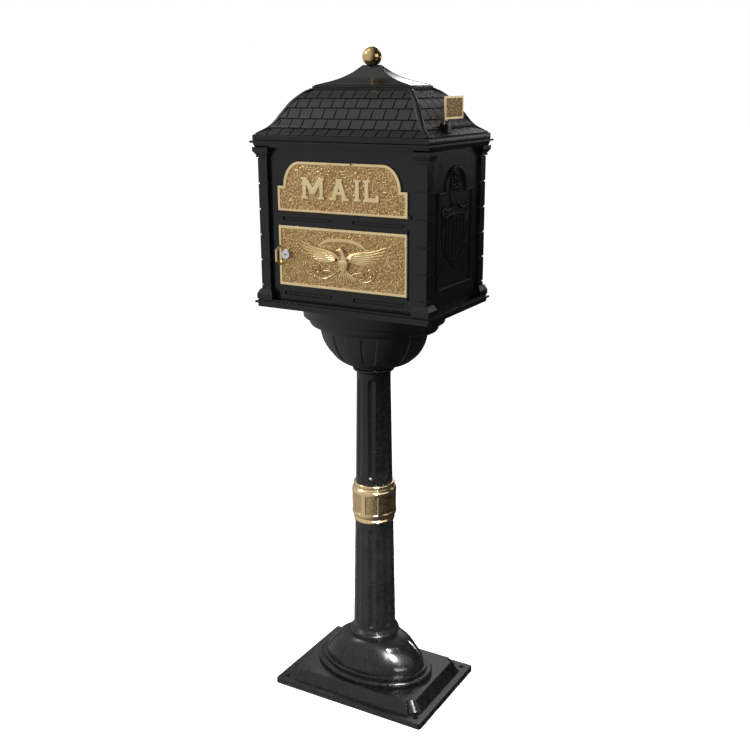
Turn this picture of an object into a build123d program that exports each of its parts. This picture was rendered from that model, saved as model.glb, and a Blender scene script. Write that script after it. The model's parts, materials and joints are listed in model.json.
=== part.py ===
from build123d import *
import math
import os

# Pedestal mailbox: a locking letter box with a hipped roof on a fluted post.
# The post axis is Z, the front of the box faces -Y and the ground is Z = 0.
# All sizes are millimetres.

os.makedirs("parts", exist_ok=True)

# ---------------------------------------------------------------- driving dimensions

# base flange and plinth
flange_length = 369.4
flange_depth = 266.2
flange_height = 13.0
flange_corner_radius = 6.0
anchor_spacing_x = 329.4
anchor_spacing_y = 228.4
anchor_hole_radius = 5.5
plinth_foot = (338.0, 232.0, 22.0)      # length, depth, corner scallop radius
plinth_top = (302.0, 206.0, 15.0)
plinth_top_z = 36.0
plinth_cavity_length = 256.0
plinth_cavity_depth = 160.0
plinth_roof = 8.0

# oval bell on the plinth
bell_bead_x = 138.0
bell_bead_y = 96.0
bell_bead_height = 12.0
bell_step_x = 126.0
bell_step_y = 84.0
bell_step_top_z = 55.0
bell_dome_x = 119.0
bell_dome_y = 78.0
bell_neck_radius = 46.0
bell_top_z = 120.0
bell_curve = 1.7
bell_wall = 6.0

# fluted post in two halves
post_joint_z = 444.0
post_top_z = 748.0
lower_shaft_foot_radius = 46.8
lower_shaft_top_radius = 42.0
shaft_seat_radius = 40.4
upper_shaft_foot_radius = 39.9
upper_shaft_top_radius = 36.0
foot_ring_radius = 55.0
foot_ring_z = 128.5
astragal_radius = 44.0
astragal_z = 740.0
lower_bore_radius = 35.0
upper_bore_radius = 28.0
spigot_radius = 32.0
spigot_bore_radius = 26.0
spigot_length = 20.0
flute_count = 8
flute_width = 19.0
flute_depth = 3.0
lower_flutes = (148.0, 384.0)           # bottom and top heights
upper_flutes = (500.0, 722.0)

# brass collar over the post joint
collar_bottom_z = 398.0
collar_top_z = 486.0
collar_body_radius = 48.4
collar_lip_radius = 44.8
collar_lip_height = 14.0

# inverted oval bowl under the box
bowl_rim_x = 156.0
bowl_rim_y = 118.0
bowl_rim_bottom_z = 846.0
bowl_bead_x = 143.0
bowl_bead_y = 106.0
bowl_bead_bottom_z = 826.0
bowl_dome_x = 120.0
bowl_dome_y = 86.0
bowl_neck_radius = 44.0
bowl_curve = 1.9
bowl_wall = 6.0
bowl_boss_radius = 9.0
bowl_boss_x = 112.0
bowl_boss_y = 66.0

# tie rod through the post
rod_radius = 6.0
rod_bottom_z = 8.0
rod_top_z = 776.0
rod_hole_radius = 6.6
rod_nut_flats = 19.0
rod_nut_height = 10.0
washer_radius = 16.0
washer_thickness = 3.0

# box body
box_bottom_z = 877.0
ledge_length = 399.0
ledge_depth = 279.0
ledge_thickness = 4.0
fascia_length = 389.6
fascia_depth = 270.4
base_ledge_z = 885.0
base_rim_width = 6.0
floor_thickness = 7.0
wall_bottom_z = 893.0
wall_top_z = 1196.0
corner_x = 189.5
corner_y = 128.5
corner_leg = 23.0
corner_leg_thickness = 12.0
corner_moulding = 7.0
front_wall_y = 120.2
side_wall_x = 183.0
wall_thickness = 4.2
block_groove_zs = (921.5, 972.5, 1023.5, 1074.5, 1125.5, 1176.5)
block_groove_depth = 2.4
block_groove_width = 3.0
post_edge_radius = 2.5
post_mouldings = (                      # low height, high height, growth at each
    (893.0, 903.0, 7.0, 7.0),
    (903.0, 913.0, 7.0, 2.0),
    (1176.5, 1180.0, 2.0, 2.0),
    (1180.0, 1189.0, 1.0, 7.0),
    (1189.0, 1196.0, 7.0, 7.0),
)
cornice_ledge_z = 1204.5
rear_frame = (270.0, 236.0)
rear_frame_width = 7.0
rear_frame_relief = 2.0
cornice_opening_length = 330.0
cornice_opening_depth = 206.0

# ornament on each side wall
ornament_half_width = 78.0
ornament_bottom_z = 930.0
ornament_shoulder_z = 1119.0
ornament_arch_radius = 46.0
ornament_frame_width = 6.0
ornament_frame_relief = 2.5
shield_half_outline = ((0, 966), (22, 982), (42, 996), (42, 1070), (26, 1062), (0, 1076))
shield_relief = 2.0
medallion_z = 1112.0
medallion_radius = 24.0

# roof: distance in from the eave, then height; front and sides alike
roof_bottom_z = 1208.5
roof_slope = ((0.0, 1220.5), (24.0, 1237.5), (39.4, 1260.5), (54.5, 1283.0), (72.0, 1300.0), (82.0, 1306.0))
roof_wall = 4.0
roof_boss_x = 140.0
roof_boss_y = 110.0
roof_boss_radius = 5.0
roof_boss_top_z = 1231.0

# cap: share of its half size left, then height
cap_length = 220.4
cap_depth = 93.0
cap_lip_bottom_z = 1306.0
cap_slope = ((1.0, 1311.5), (0.6, 1322.8), (0.36, 1334.2), (0.207, 1345.4), (0.15, 1350.0))
cap_pocket_margin = 14.0
cap_pocket_top_z = 1314.0
finial_seat_radius = 11.0
ball_radius = 19.0
ball_centre_z = 1366.0
stud_radius = 4.0
stud_bottom_z = 1292.0
stud_top_z = 1358.0

# doors
door_half_width = 145.2
door_face_y = 124.5
door_back_y = 119.3
door_gap = 1.0
door_border = 5.0
door_field_depth = 1.7
rebate_depth = 1.2
doorway_margin = 5.0
mail_bottom_z = 1073.3
mail_shoulder_z = 1122.4
mail_top_z = 1170.6
mail_shoulder_x = 131.2
mail_flat_top_x = 92.5
finger_lip_width = 50.0
locker_bottom_z = 925.6
locker_top_z = 1044.7
hinge_pin_radius = 1.3
hinge_bore_radius = 1.36
hinge_bore_depth = 12.0
hinge_lug_size = 6.0
lug_root = 2.5
hinge_lug_gap = 0.6
slot_length = 114.0
slot_height = 8.6
slot_depth = 3.2
slot_bar_height = 3.0
slot_bar_sink = 0.6
slot_centre_x = 81.0
slot_zs = (1059.0, 908.0)

# lock and handle
lock_x = -126.6
lock_z = 988.0
lock_head_radius = 10.2
lock_face_y = 131.0
lock_body_radius = 8.2
lock_back_y = 113.6
lock_nut_flats = 20.0
lock_nut_height = 4.0
plug_radius = 6.0
plug_bore_radius = 6.05
cam_front_y = 113.4
cam_back_y = 111.0
cam_reach = 30.0
cam_width = 14.0
cam_hub_radius = 3.0
handle_centre_z = 985.0
handle_foot_height = 42.0
handle_bar_height = 23.0
handle_reach = 15.0
handle_strap = 4.0
handle_thickness = 3.2

# flag
flag_x = 178.0
flag_thickness = 3.0
flag_pivot_y = -36.0
flag_pivot_z = 1241.5
flag_plate_front_y = -40.5
flag_plate_length = 78.0
flag_plate_bottom_z = 1250.5
flag_plate_height = 42.0
flag_border = 4.0
flag_hub_radius = 5.5
flag_pin_radius = 2.0
flag_bore_radius = 2.06
ear_radius = 7.5
ear_thickness = 6.5
ear_gap = 3.6

# mail baffle behind the mail doorway
baffle_width = 300.0
baffle_thickness = 1.6


baffle_foot_z = 1054.0
baffle_bend_z = 1073.0
baffle_lip_y = 10.0
baffle_lip_z = 1030.0
baffle_screw_z = 1066.0
baffle_screw_xs = (-110.0, 0.0, 110.0)
baffle_screw_radius = 1.5

# screws and bolts
corner_screw_radius = 2.5
corner_screw_head_radius = 4.5
corner_screw_head_height = 3.0
roof_screw_radius = 2.0
bowl_bolt_radius = 4.0
bowl_bolt_length = 32.0
hex_head_flats = 13.0
hex_head_height = 5.3
finial_nut_height = 6.0
cam_screw_radius = 1.5


# ---------------------------------------------------------------- shared shapes

on_foot = (Align.CENTER, Align.CENTER, Align.MIN)
on_head = (Align.CENTER, Align.CENTER, Align.MAX)


def save(piece, name):
    """Label a finished piece and write its STEP file."""
    piece.part.label = name
    export_step(piece.part, f"parts/{name}.step")


def dome_sections(oval_x, oval_y, neck_radius, base_z, tip_z, curve, count=8):
    """Ovals of a dome that closes from an oval base to a round neck."""
    sections = []
    for step in range(count):
        turn = step / (count - 1) * math.pi / 2
        rise = math.sin(turn) ** (2 / curve)
        spread = math.cos(turn) ** (2 / curve)
        half_x = neck_radius + (oval_x - neck_radius) * spread
        half_y = neck_radius + (oval_y - neck_radius) * spread
        sections.append((half_x, half_y, base_z + (tip_z - base_z) * rise))
    return sections


def hollow_dome(sections, wall):
    """Loft a dome through its ovals and hollow it from the base side."""
    toward_base = math.copysign(wall, sections[0][2] - sections[-1][2])
    with BuildPart() as dome:
        for half_x, half_y, z in sections:
            with BuildSketch(Plane.XY.offset(z)):
                Ellipse(half_x, half_y)
        loft()
        for half_x, half_y, z in sections:
            with BuildSketch(Plane.XY.offset(z + toward_base)):
                Ellipse(half_x - wall, half_y - wall)
        loft(mode=Mode.SUBTRACT)
    return dome.part


def flute_cutter(bottom_radius, top_radius, bottom_z, top_z):
    """Round-ended bar that leaves one shallow flute in a tapered post."""
    bar_radius = (flute_width ** 2 / 4 + flute_depth ** 2) / (2 * flute_depth)
    stand_off = bar_radius - flute_depth
    low = Vector(bottom_radius + stand_off, 0, bottom_z + flute_width / 2)
    high = Vector(top_radius + stand_off, 0, top_z - flute_width / 2)
    bar_axis = Plane(origin=low, x_dir=(0, 1, 0), z_dir=high - low)
    with BuildPart() as cutter:
        with BuildSketch(bar_axis):
            Circle(bar_radius)
        extrude(amount=(high - low).length)
        with Locations(low, high):
            Sphere(bar_radius)
    return cutter.part


def slope_face(plane, slope, foot_z):
    """Face under a curved slope given as half width and height, mirrored about the post."""
    foot = (slope[0][0], foot_z)
    peak = (0, slope[-1][1])
    with BuildSketch(plane) as face:
        with BuildLine():
            Spline(*slope)
            Polyline(slope[-1], peak, (0, foot_z), foot, slope[0])
        make_face()
        mirror(about=Plane.YZ)
    return face.sketch


def hipped_block(slope_x, slope_y, foot_z):
    """Cross a side profile and a front profile, which leaves mitred hips."""
    half_length = slope_x[0][0]
    half_depth = slope_y[0][0]
    with BuildPart() as block:
        extrude(slope_face(Plane.XZ, slope_x, foot_z), amount=half_depth, both=True)
        side_face = slope_face(Plane.YZ, slope_y, foot_z)
        extrude(side_face, amount=half_length, both=True, mode=Mode.INTERSECT)
    return block.part


def roof_block(inset, drop, foot_z):
    """Solid under the roof slope, moved in by inset and down by drop."""
    half_x = fascia_length / 2 - inset
    half_y = fascia_depth / 2 - inset
    slope_x = [(half_x - step_in, z - drop) for step_in, z in roof_slope]
    slope_y = [(half_y - step_in, z - drop) for step_in, z in roof_slope]
    return hipped_block(slope_x, slope_y, foot_z)


def mail_door_face(grow):
    """Outline of the mail door: square shoulders below a top with rounded corners."""
    half = door_half_width + grow
    bottom = mail_bottom_z - grow
    shoulder = mail_shoulder_z + grow
    arc_x = mail_shoulder_x + grow
    top = mail_top_z + grow
    with BuildSketch() as face:
        with BuildLine():
            Polyline((0, bottom), (half, bottom), (half, shoulder), (arc_x, shoulder))
            corner_width = arc_x - mail_flat_top_x
            EllipticalCenterArc((mail_flat_top_x, shoulder), corner_width, top - shoulder, arc_size=90)
            Polyline((mail_flat_top_x, top), (0, top), (0, bottom))
        make_face()
        mirror(about=Plane.YZ)
    return face.sketch


def locker_door_face(grow):
    """Outline of the locker door, a plain rectangle."""
    centre_z = (locker_bottom_z + locker_top_z) / 2
    with BuildSketch() as face:
        with Locations((0, centre_z)):
            Rectangle(2 * (door_half_width + grow), locker_top_z - locker_bottom_z + 2 * grow)
    return face.sketch


def arched_face(grow):
    """Outline of the side ornament: a tall rectangle with a round arch on top."""
    half = ornament_half_width + grow
    bottom = ornament_bottom_z - grow
    shoulder = ornament_shoulder_z + grow
    with BuildSketch() as face:
        with Locations((0, (bottom + shoulder) / 2)):
            Rectangle(2 * half, shoulder - bottom)
        with Locations((0, ornament_shoulder_z)):
            Circle(ornament_arch_radius + grow)
    return face.sketch


def corner_moulding_face(grow):
    """Angle outline of a corner post's moulding, in the quarter where x and y are positive."""
    outer_x = corner_x + grow
    outer_y = corner_y + grow
    end_x = corner_x - corner_leg - grow
    end_y = corner_y - corner_leg - grow
    with BuildSketch() as face:
        with BuildLine():
            Polyline(
                (outer_x, outer_y),
                (end_x, outer_y),
                (end_x, front_wall_y),
                (side_wall_x, front_wall_y),
                (side_wall_x, end_y),
                (outer_x, end_y),
                close=True,
            )
        make_face()
    return face.sketch


# ---------------------------------------------------------------- base and post

with BuildPart() as base_flange:
    with BuildSketch():
        RectangleRounded(flange_length, flange_depth, flange_corner_radius)
    extrude(amount=flange_height)
    chamfer(base_flange.faces().sort_by(Axis.Z)[-1].edges(), 1.5)
    for (length, depth, scallop), z in ((plinth_foot, flange_height), (plinth_top, plinth_top_z)):
        with BuildSketch(Plane.XY.offset(z)):
            Rectangle(length, depth)
            with GridLocations(length, depth, 2, 2):
                Circle(scallop, mode=Mode.SUBTRACT)
    loft()
    fillet(base_flange.faces().sort_by(Axis.Z)[-1].edges(), 1.5)
    with BuildSketch():
        RectangleRounded(plinth_cavity_length, plinth_cavity_depth, 10)
    extrude(amount=plinth_top_z - plinth_roof, mode=Mode.SUBTRACT)
    with Locations((0, 0, flange_height)):
        with GridLocations(anchor_spacing_x, anchor_spacing_y, 2, 2):
            Hole(anchor_hole_radius)
    with Locations((0, 0, plinth_top_z)):
        Hole(rod_hole_radius)
save(base_flange, "base_flange")

with BuildPart() as base_bell:
    with BuildSketch(Plane.XY.offset(plinth_top_z)):
        Ellipse(bell_bead_x, bell_bead_y)
    extrude(amount=bell_bead_height)
    fillet(base_bell.edges(), bell_bead_height * 0.45)
    with BuildSketch(Plane.XY.offset(plinth_top_z + bell_bead_height - 2)):
        Ellipse(bell_step_x, bell_step_y)
    extrude(amount=bell_step_top_z - plinth_top_z - bell_bead_height + 2)
    fillet(base_bell.edges().sort_by(Axis.Z)[-1], 3)
    with BuildSketch(Plane.XY.offset(plinth_top_z)):
        Ellipse(bell_dome_x - bell_wall, bell_dome_y - bell_wall)
    extrude(amount=bell_step_top_z - plinth_top_z, mode=Mode.SUBTRACT)
    add(hollow_dome(
        dome_sections(
            bell_dome_x, bell_dome_y, bell_neck_radius, bell_step_top_z - 2, bell_top_z, bell_curve
        ),
        bell_wall,
    ))
    with Locations((0, 0, bell_top_z)):
        Hole(rod_hole_radius)
save(base_bell, "base_bell")

lower_flute = flute_cutter(lower_shaft_foot_radius, lower_shaft_top_radius, *lower_flutes)
with BuildPart() as lower_shaft:
    with BuildSketch(Plane.XZ):
        with BuildLine():
            Polyline(
                (lower_bore_radius, bell_top_z),
                (foot_ring_radius - 4, bell_top_z),
                (foot_ring_radius - 4, foot_ring_z + 7),
                (lower_shaft_foot_radius, foot_ring_z + 11),
                (lower_shaft_top_radius, collar_bottom_z - 4),
                (lower_shaft_top_radius + 1, collar_bottom_z),
                (shaft_seat_radius, collar_bottom_z),
                (shaft_seat_radius, post_joint_z),
                (spigot_radius, post_joint_z),
                (spigot_radius, post_joint_z + spigot_length),
                (spigot_bore_radius, post_joint_z + spigot_length),
                (spigot_bore_radius, post_joint_z - 14),
                (lower_bore_radius, post_joint_z - 30),
                close=True,
            )
        make_face()
        with Locations((foot_ring_radius - 6.5, foot_ring_z)):
            Circle(6.5)
    revolve()
    with PolarLocations(0, flute_count, start_angle=180 / flute_count):
        add(lower_flute, mode=Mode.SUBTRACT)
save(lower_shaft, "lower_shaft")

upper_flute = flute_cutter(upper_shaft_foot_radius, upper_shaft_top_radius, *upper_flutes)
with BuildPart() as upper_shaft:
    with BuildSketch(Plane.XZ):
        with BuildLine():
            Polyline(
                (spigot_radius, post_joint_z),
                (shaft_seat_radius, post_joint_z),
                (shaft_seat_radius, collar_top_z),
                (upper_shaft_foot_radius, collar_top_z + 2),
                (upper_shaft_top_radius, astragal_z - 7),
                (astragal_radius - 3, astragal_z - 4),
                (astragal_radius - 3, post_top_z),
                (upper_bore_radius, post_top_z),
                (upper_bore_radius, post_joint_z + spigot_length + 4),
                (spigot_radius, post_joint_z + spigot_length),
                close=True,
            )
        make_face()
        with Locations((astragal_radius - 4, astragal_z)):
            Circle(4)
    revolve()
    with PolarLocations(0, flute_count, start_angle=180 / flute_count):
        add(upper_flute, mode=Mode.SUBTRACT)
save(upper_shaft, "upper_shaft")

with BuildPart() as post_collar:
    body_bottom_z = collar_bottom_z + collar_lip_height
    body_top_z = collar_top_z - collar_lip_height
    with BuildSketch(Plane.XZ):
        with BuildLine():
            Polyline(
                (shaft_seat_radius, collar_bottom_z),
                (collar_lip_radius - 1.5, collar_bottom_z),
                (collar_lip_radius, collar_bottom_z + 4),
                (collar_lip_radius - 0.5, body_bottom_z - 4),
                (collar_body_radius, body_bottom_z),
                (collar_body_radius, body_top_z),
                (collar_lip_radius - 0.5, body_top_z + 4),
                (collar_lip_radius, collar_top_z - 4),
                (collar_lip_radius - 1.5, collar_top_z),
                (shaft_seat_radius, collar_top_z),
                close=True,
            )
        make_face()
    revolve()
save(post_collar, "post_collar")

with BuildPart() as top_bowl:
    with BuildSketch(Plane.XY.offset(bowl_rim_bottom_z)):
        Ellipse(bowl_rim_x, bowl_rim_y)
    extrude(amount=box_bottom_z - bowl_rim_bottom_z)
    fillet(top_bowl.edges().sort_by(Axis.Z)[0], 4)
    with BuildSketch(Plane.XY.offset(bowl_bead_bottom_z)):
        Ellipse(bowl_bead_x, bowl_bead_y)
    extrude(amount=bowl_rim_bottom_z - bowl_bead_bottom_z)
    fillet(top_bowl.edges().sort_by(Axis.Z)[0], 9)
    with BuildSketch(Plane.XY.offset(bowl_rim_bottom_z + bowl_wall)):
        Ellipse(bowl_rim_x - bowl_wall, bowl_rim_y - bowl_wall)
    extrude(amount=box_bottom_z - bowl_rim_bottom_z, mode=Mode.SUBTRACT)
    with BuildSketch(Plane.XY.offset(bowl_bead_bottom_z + 2 * bowl_wall)):
        Ellipse(bowl_bead_x - bowl_wall, bowl_bead_y - bowl_wall)
    extrude(amount=bowl_rim_bottom_z - bowl_bead_bottom_z, mode=Mode.SUBTRACT)
    with BuildSketch(Plane.XY.offset(bowl_bead_bottom_z)):
        Ellipse(bowl_dome_x - bowl_wall, bowl_dome_y - bowl_wall)
    extrude(amount=2 * bowl_wall, mode=Mode.SUBTRACT)
    add(hollow_dome(
        dome_sections(
            bowl_dome_x, bowl_dome_y, bowl_neck_radius, bowl_bead_bottom_z + 2, post_top_z, bowl_curve
        ),
        bowl_wall,
    ))
    with BuildSketch(Plane.XY.offset(bowl_rim_bottom_z + bowl_wall)):
        with GridLocations(2 * bowl_boss_x, 2 * bowl_boss_y, 2, 2):
            Circle(bowl_boss_radius)
    extrude(amount=box_bottom_z - bowl_rim_bottom_z - bowl_wall)
    with Locations((0, 0, box_bottom_z)):
        with GridLocations(2 * bowl_boss_x, 2 * bowl_boss_y, 2, 2):
            Hole(bowl_bolt_radius, depth=18)
        Hole(rod_hole_radius)
save(top_bowl, "top_bowl")

with BuildPart() as tie_rod:
    with BuildSketch(Plane.XY.offset(rod_bottom_z)):
        Circle(rod_radius)
    extrude(amount=rod_top_z - rod_bottom_z)
    chamfer(tie_rod.edges(), 1)
save(tie_rod, "tie_rod")

rod_washer_zs = (plinth_top_z - plinth_roof - washer_thickness, post_top_z + bowl_wall)
rod_nut_zs = (rod_washer_zs[0] - rod_nut_height, rod_washer_zs[1] + washer_thickness)

with BuildPart() as tie_rod_washers:
    for z in rod_washer_zs:
        with BuildSketch(Plane.XY.offset(z)):
            Circle(washer_radius)
            Circle(rod_radius, mode=Mode.SUBTRACT)
        extrude(amount=washer_thickness)
save(tie_rod_washers, "tie_rod_washers")

with BuildPart() as tie_rod_nuts:
    for z in rod_nut_zs:
        with BuildSketch(Plane.XY.offset(z)):
            RegularPolygon(rod_nut_flats / 2, 6, major_radius=False)
            Circle(rod_radius, mode=Mode.SUBTRACT)
        extrude(amount=rod_nut_height)
save(tie_rod_nuts, "tie_rod_nuts")

# ---------------------------------------------------------------- box body

corner_screw_x = corner_x - corner_leg_thickness / 2
corner_screw_y = corner_y - corner_leg_thickness / 2
floor_underside_z = wall_bottom_z - floor_thickness

with BuildPart() as box_base:
    with BuildSketch(Plane.XY.offset(box_bottom_z)):
        Rectangle(fascia_length, fascia_depth)
        Rectangle(fascia_length - 2 * base_rim_width, fascia_depth - 2 * base_rim_width, mode=Mode.SUBTRACT)
        Ellipse(bowl_rim_x - 2, bowl_rim_y - 2)
    extrude(amount=floor_underside_z - box_bottom_z)
    with BuildSketch(Plane.XY.offset(base_ledge_z)):
        Rectangle(ledge_length, ledge_depth)
        Rectangle(fascia_length - 2 * base_rim_width, fascia_depth - 2 * base_rim_width, mode=Mode.SUBTRACT)
    extrude(amount=ledge_thickness)
    with BuildSketch(Plane.XY.offset(floor_underside_z)):
        Rectangle(2 * (corner_x + corner_moulding) - 4, 2 * (corner_y + corner_moulding) - 4)
    extrude(amount=floor_thickness)
    with Locations((0, 0, wall_bottom_z)):
        with GridLocations(2 * corner_screw_x, 2 * corner_screw_y, 2, 2):
            Hole(corner_screw_radius)
        with GridLocations(2 * bowl_boss_x, 2 * bowl_boss_y, 2, 2):
            Hole(bowl_bolt_radius)
save(box_base, "box_base")

with BuildPart() as cornice_frame:
    cornice_foot_length = 2 * corner_x + 2 * corner_moulding
    cornice_foot_depth = 2 * corner_y + 2 * corner_moulding
    with BuildSketch(Plane.XY.offset(wall_top_z)):
        Rectangle(cornice_foot_length - 8, cornice_foot_depth - 8)
    with BuildSketch(Plane.XY.offset(cornice_ledge_z)):
        Rectangle(fascia_length, fascia_depth)
    loft()
    with BuildSketch(Plane.XY.offset(cornice_ledge_z)):
        Rectangle(ledge_length, ledge_depth)
    extrude(amount=roof_bottom_z - cornice_ledge_z)
    with BuildSketch(Plane.XY.offset(wall_top_z)):
        Rectangle(cornice_opening_length, cornice_opening_depth)
    extrude(amount=roof_bottom_z - wall_top_z, mode=Mode.SUBTRACT)
    with Locations((0, 0, roof_bottom_z)):
        with GridLocations(2 * corner_screw_x, 2 * corner_screw_y, 2, 2):
            CounterBoreHole(corner_screw_radius, corner_screw_head_radius, corner_screw_head_height)
        with GridLocations(2 * roof_boss_x, 2 * roof_boss_y, 2, 2):
            Hole(roof_screw_radius)
save(cornice_frame, "cornice_frame")


def corner_post(side_x, side_y, name):
    """Angle-section corner post with coursed blocks, a foot moulding and a capital."""
    with BuildPart() as post:
        with BuildSketch(Plane.XY.offset(wall_bottom_z)):
            with Locations((corner_x - corner_leg / 2, corner_y - corner_leg / 2)):
                Rectangle(corner_leg, corner_leg)
            inner_leg = corner_leg - corner_leg_thickness
            with Locations((corner_x - corner_leg + inner_leg / 2, corner_y - corner_leg + inner_leg / 2)):
                Rectangle(inner_leg, inner_leg, mode=Mode.SUBTRACT)
        extrude(amount=wall_top_z - wall_bottom_z)
        fillet(post.edges().filter_by(Axis.Z).sort_by(Axis((0, 0, 0), (1, 1, 0)))[-1], post_edge_radius)
        for z in block_groove_zs:
            with Locations((0, corner_y, z)):
                Box(2 * corner_x, 2 * block_groove_depth, block_groove_width, mode=Mode.SUBTRACT)
            with Locations((corner_x, 0, z)):
                Box(2 * block_groove_depth, 2 * corner_y, block_groove_width, mode=Mode.SUBTRACT)
        for low_z, high_z, low_grow, high_grow in post_mouldings:
            add(loft([
                Plane.XY.offset(low_z) * corner_moulding_face(low_grow),
                Plane.XY.offset(high_z) * corner_moulding_face(high_grow),
            ], mode=Mode.PRIVATE))
        for z, depth in ((wall_bottom_z - 1, 16), (wall_top_z - 15, 16)):
            with Locations((corner_screw_x, corner_screw_y, z)):
                Cylinder(corner_screw_radius, depth, align=on_foot, mode=Mode.SUBTRACT)
        if side_x < 0:
            mirror(about=Plane.YZ, mode=Mode.REPLACE)
        if side_y < 0:
            mirror(about=Plane.XZ, mode=Mode.REPLACE)
    save(post, name)


corner_post(1, -1, "corner_post_front_right")
corner_post(-1, -1, "corner_post_front_left")
corner_post(1, 1, "corner_post_rear_right")
corner_post(-1, 1, "corner_post_rear_left")

wall_height = wall_top_z - wall_bottom_z
wall_centre_z = (wall_top_z + wall_bottom_z) / 2
front_wall_half = corner_x - corner_leg
side_wall_half = corner_y - corner_leg
hinge_y = (door_face_y + door_back_y) / 2
door_edge_radius = (door_face_y - door_back_y) / 2
mail_hinge_z = mail_bottom_z + door_edge_radius
locker_hinge_x = door_half_width - door_edge_radius
mail_lug_x = door_half_width + hinge_lug_gap + hinge_lug_size / 2
locker_lug_zs = (
    locker_bottom_z - hinge_lug_gap - hinge_lug_size / 2,
    locker_top_z + hinge_lug_gap + hinge_lug_size / 2,
)

with BuildPart() as front_panel:
    with BuildSketch(Plane.XZ.offset(front_wall_y - wall_thickness)):
        with Locations((0, wall_centre_z)):
            Rectangle(2 * front_wall_half, wall_height)
        add(mail_door_face(-doorway_margin), mode=Mode.SUBTRACT)
        add(locker_door_face(-doorway_margin), mode=Mode.SUBTRACT)
    extrude(amount=wall_thickness)
    with BuildSketch(Plane.XZ.offset(front_wall_y - rebate_depth)):
        add(mail_door_face(door_gap))
        add(locker_door_face(door_gap))
    extrude(amount=rebate_depth, mode=Mode.SUBTRACT)
    with BuildSketch(Plane.XZ.offset(front_wall_y - slot_depth)):
        for slot_z in slot_zs:
            with Locations((slot_centre_x, slot_z), (-slot_centre_x, slot_z)):
                SlotOverall(slot_length, slot_height)
                SlotOverall(slot_length - slot_height, slot_bar_height, mode=Mode.SUBTRACT)
    extrude(amount=slot_depth, mode=Mode.SUBTRACT)
    with BuildSketch(Plane.XZ.offset(front_wall_y - slot_bar_sink)):
        for slot_z in slot_zs:
            with Locations((slot_centre_x, slot_z), (-slot_centre_x, slot_z)):
                SlotOverall(slot_length - slot_height, slot_bar_height)
    extrude(amount=slot_bar_sink, mode=Mode.SUBTRACT)
    lug_depth = door_face_y - front_wall_y + lug_root
    for lug_x in (-mail_lug_x, mail_lug_x):
        with Locations((lug_x, -front_wall_y - lug_depth / 2 + lug_root, mail_hinge_z)):
            Box(hinge_lug_size, lug_depth, hinge_lug_size)
    for lug_z in locker_lug_zs:
        with Locations((locker_hinge_x, -front_wall_y - lug_depth / 2 + lug_root, lug_z)):
            Box(hinge_lug_size, lug_depth, hinge_lug_size)
    with Locations(Location((0, -hinge_y, mail_hinge_z), (0, 90, 0))):
        Cylinder(hinge_pin_radius, 2 * (mail_lug_x + hinge_lug_size), mode=Mode.SUBTRACT)
    for lug_z in locker_lug_zs:
        with Locations((locker_hinge_x, -hinge_y, lug_z)):
            Cylinder(hinge_pin_radius, hinge_lug_size, mode=Mode.SUBTRACT)
    for screw_x in baffle_screw_xs:
        with Locations(Location((screw_x, -front_wall_y + wall_thickness, baffle_screw_z), (90, 0, 0))):
            Cylinder(baffle_screw_radius, 2.4, align=on_foot, mode=Mode.SUBTRACT)
save(front_panel, "front_panel")

with BuildPart() as rear_panel:
    with Locations((0, front_wall_y - wall_thickness / 2, wall_centre_z)):
        Box(2 * front_wall_half, wall_thickness, wall_height)
    with BuildSketch(Plane.XZ.offset(-front_wall_y - rear_frame_relief)):
        with Locations((0, wall_centre_z)):
            Rectangle(*rear_frame)
            Rectangle(*[size - 2 * rear_frame_width for size in rear_frame], mode=Mode.SUBTRACT)
    extrude(amount=rear_frame_relief)
save(rear_panel, "rear_panel")


def side_panel(side, name):
    """Side wall with an arched raised frame and a ribbed shield."""
    with BuildPart() as panel:
        with Locations((side_wall_x - wall_thickness / 2, 0, wall_centre_z)):
            Box(wall_thickness, 2 * side_wall_half, wall_height)
        with BuildSketch(Plane.YZ.offset(side_wall_x)):
            add(arched_face(0))
            add(arched_face(-ornament_frame_width), mode=Mode.SUBTRACT)
        extrude(amount=ornament_frame_relief)
        with BuildSketch(Plane.YZ.offset(side_wall_x)):
            with BuildLine():
                Polyline(*shield_half_outline, close=True)
            make_face()
            mirror(about=Plane.YZ)
            with Locations((0, medallion_z)):
                Circle(medallion_radius)
        extrude(amount=shield_relief)
        if side < 0:
            mirror(about=Plane.YZ, mode=Mode.REPLACE)
    save(panel, name)


side_panel(1, "right_side_panel")
side_panel(-1, "left_side_panel")

with BuildPart() as corner_screws:
    with GridLocations(2 * corner_screw_x, 2 * corner_screw_y, 2, 2):
        with Locations((0, 0, floor_underside_z)):
            Cylinder(corner_screw_radius, 20, align=on_foot)
            Cylinder(corner_screw_head_radius, corner_screw_head_height, align=on_head)
        with Locations((0, 0, roof_bottom_z)):
            Cylinder(corner_screw_head_radius, corner_screw_head_height, align=on_head)
            Cylinder(corner_screw_radius, 25, align=on_head)
save(corner_screws, "corner_screws")

with BuildPart() as bowl_bolts:
    with GridLocations(2 * bowl_boss_x, 2 * bowl_boss_y, 2, 2):
        with Locations((0, 0, wall_bottom_z)):
            Cylinder(bowl_bolt_radius, bowl_bolt_length, align=on_head)
    with BuildSketch(Plane.XY.offset(wall_bottom_z)):
        with GridLocations(2 * bowl_boss_x, 2 * bowl_boss_y, 2, 2):
            RegularPolygon(hex_head_flats / 2, 6, major_radius=False)
    extrude(amount=hex_head_height)
save(bowl_bolts, "bowl_bolts")

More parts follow.
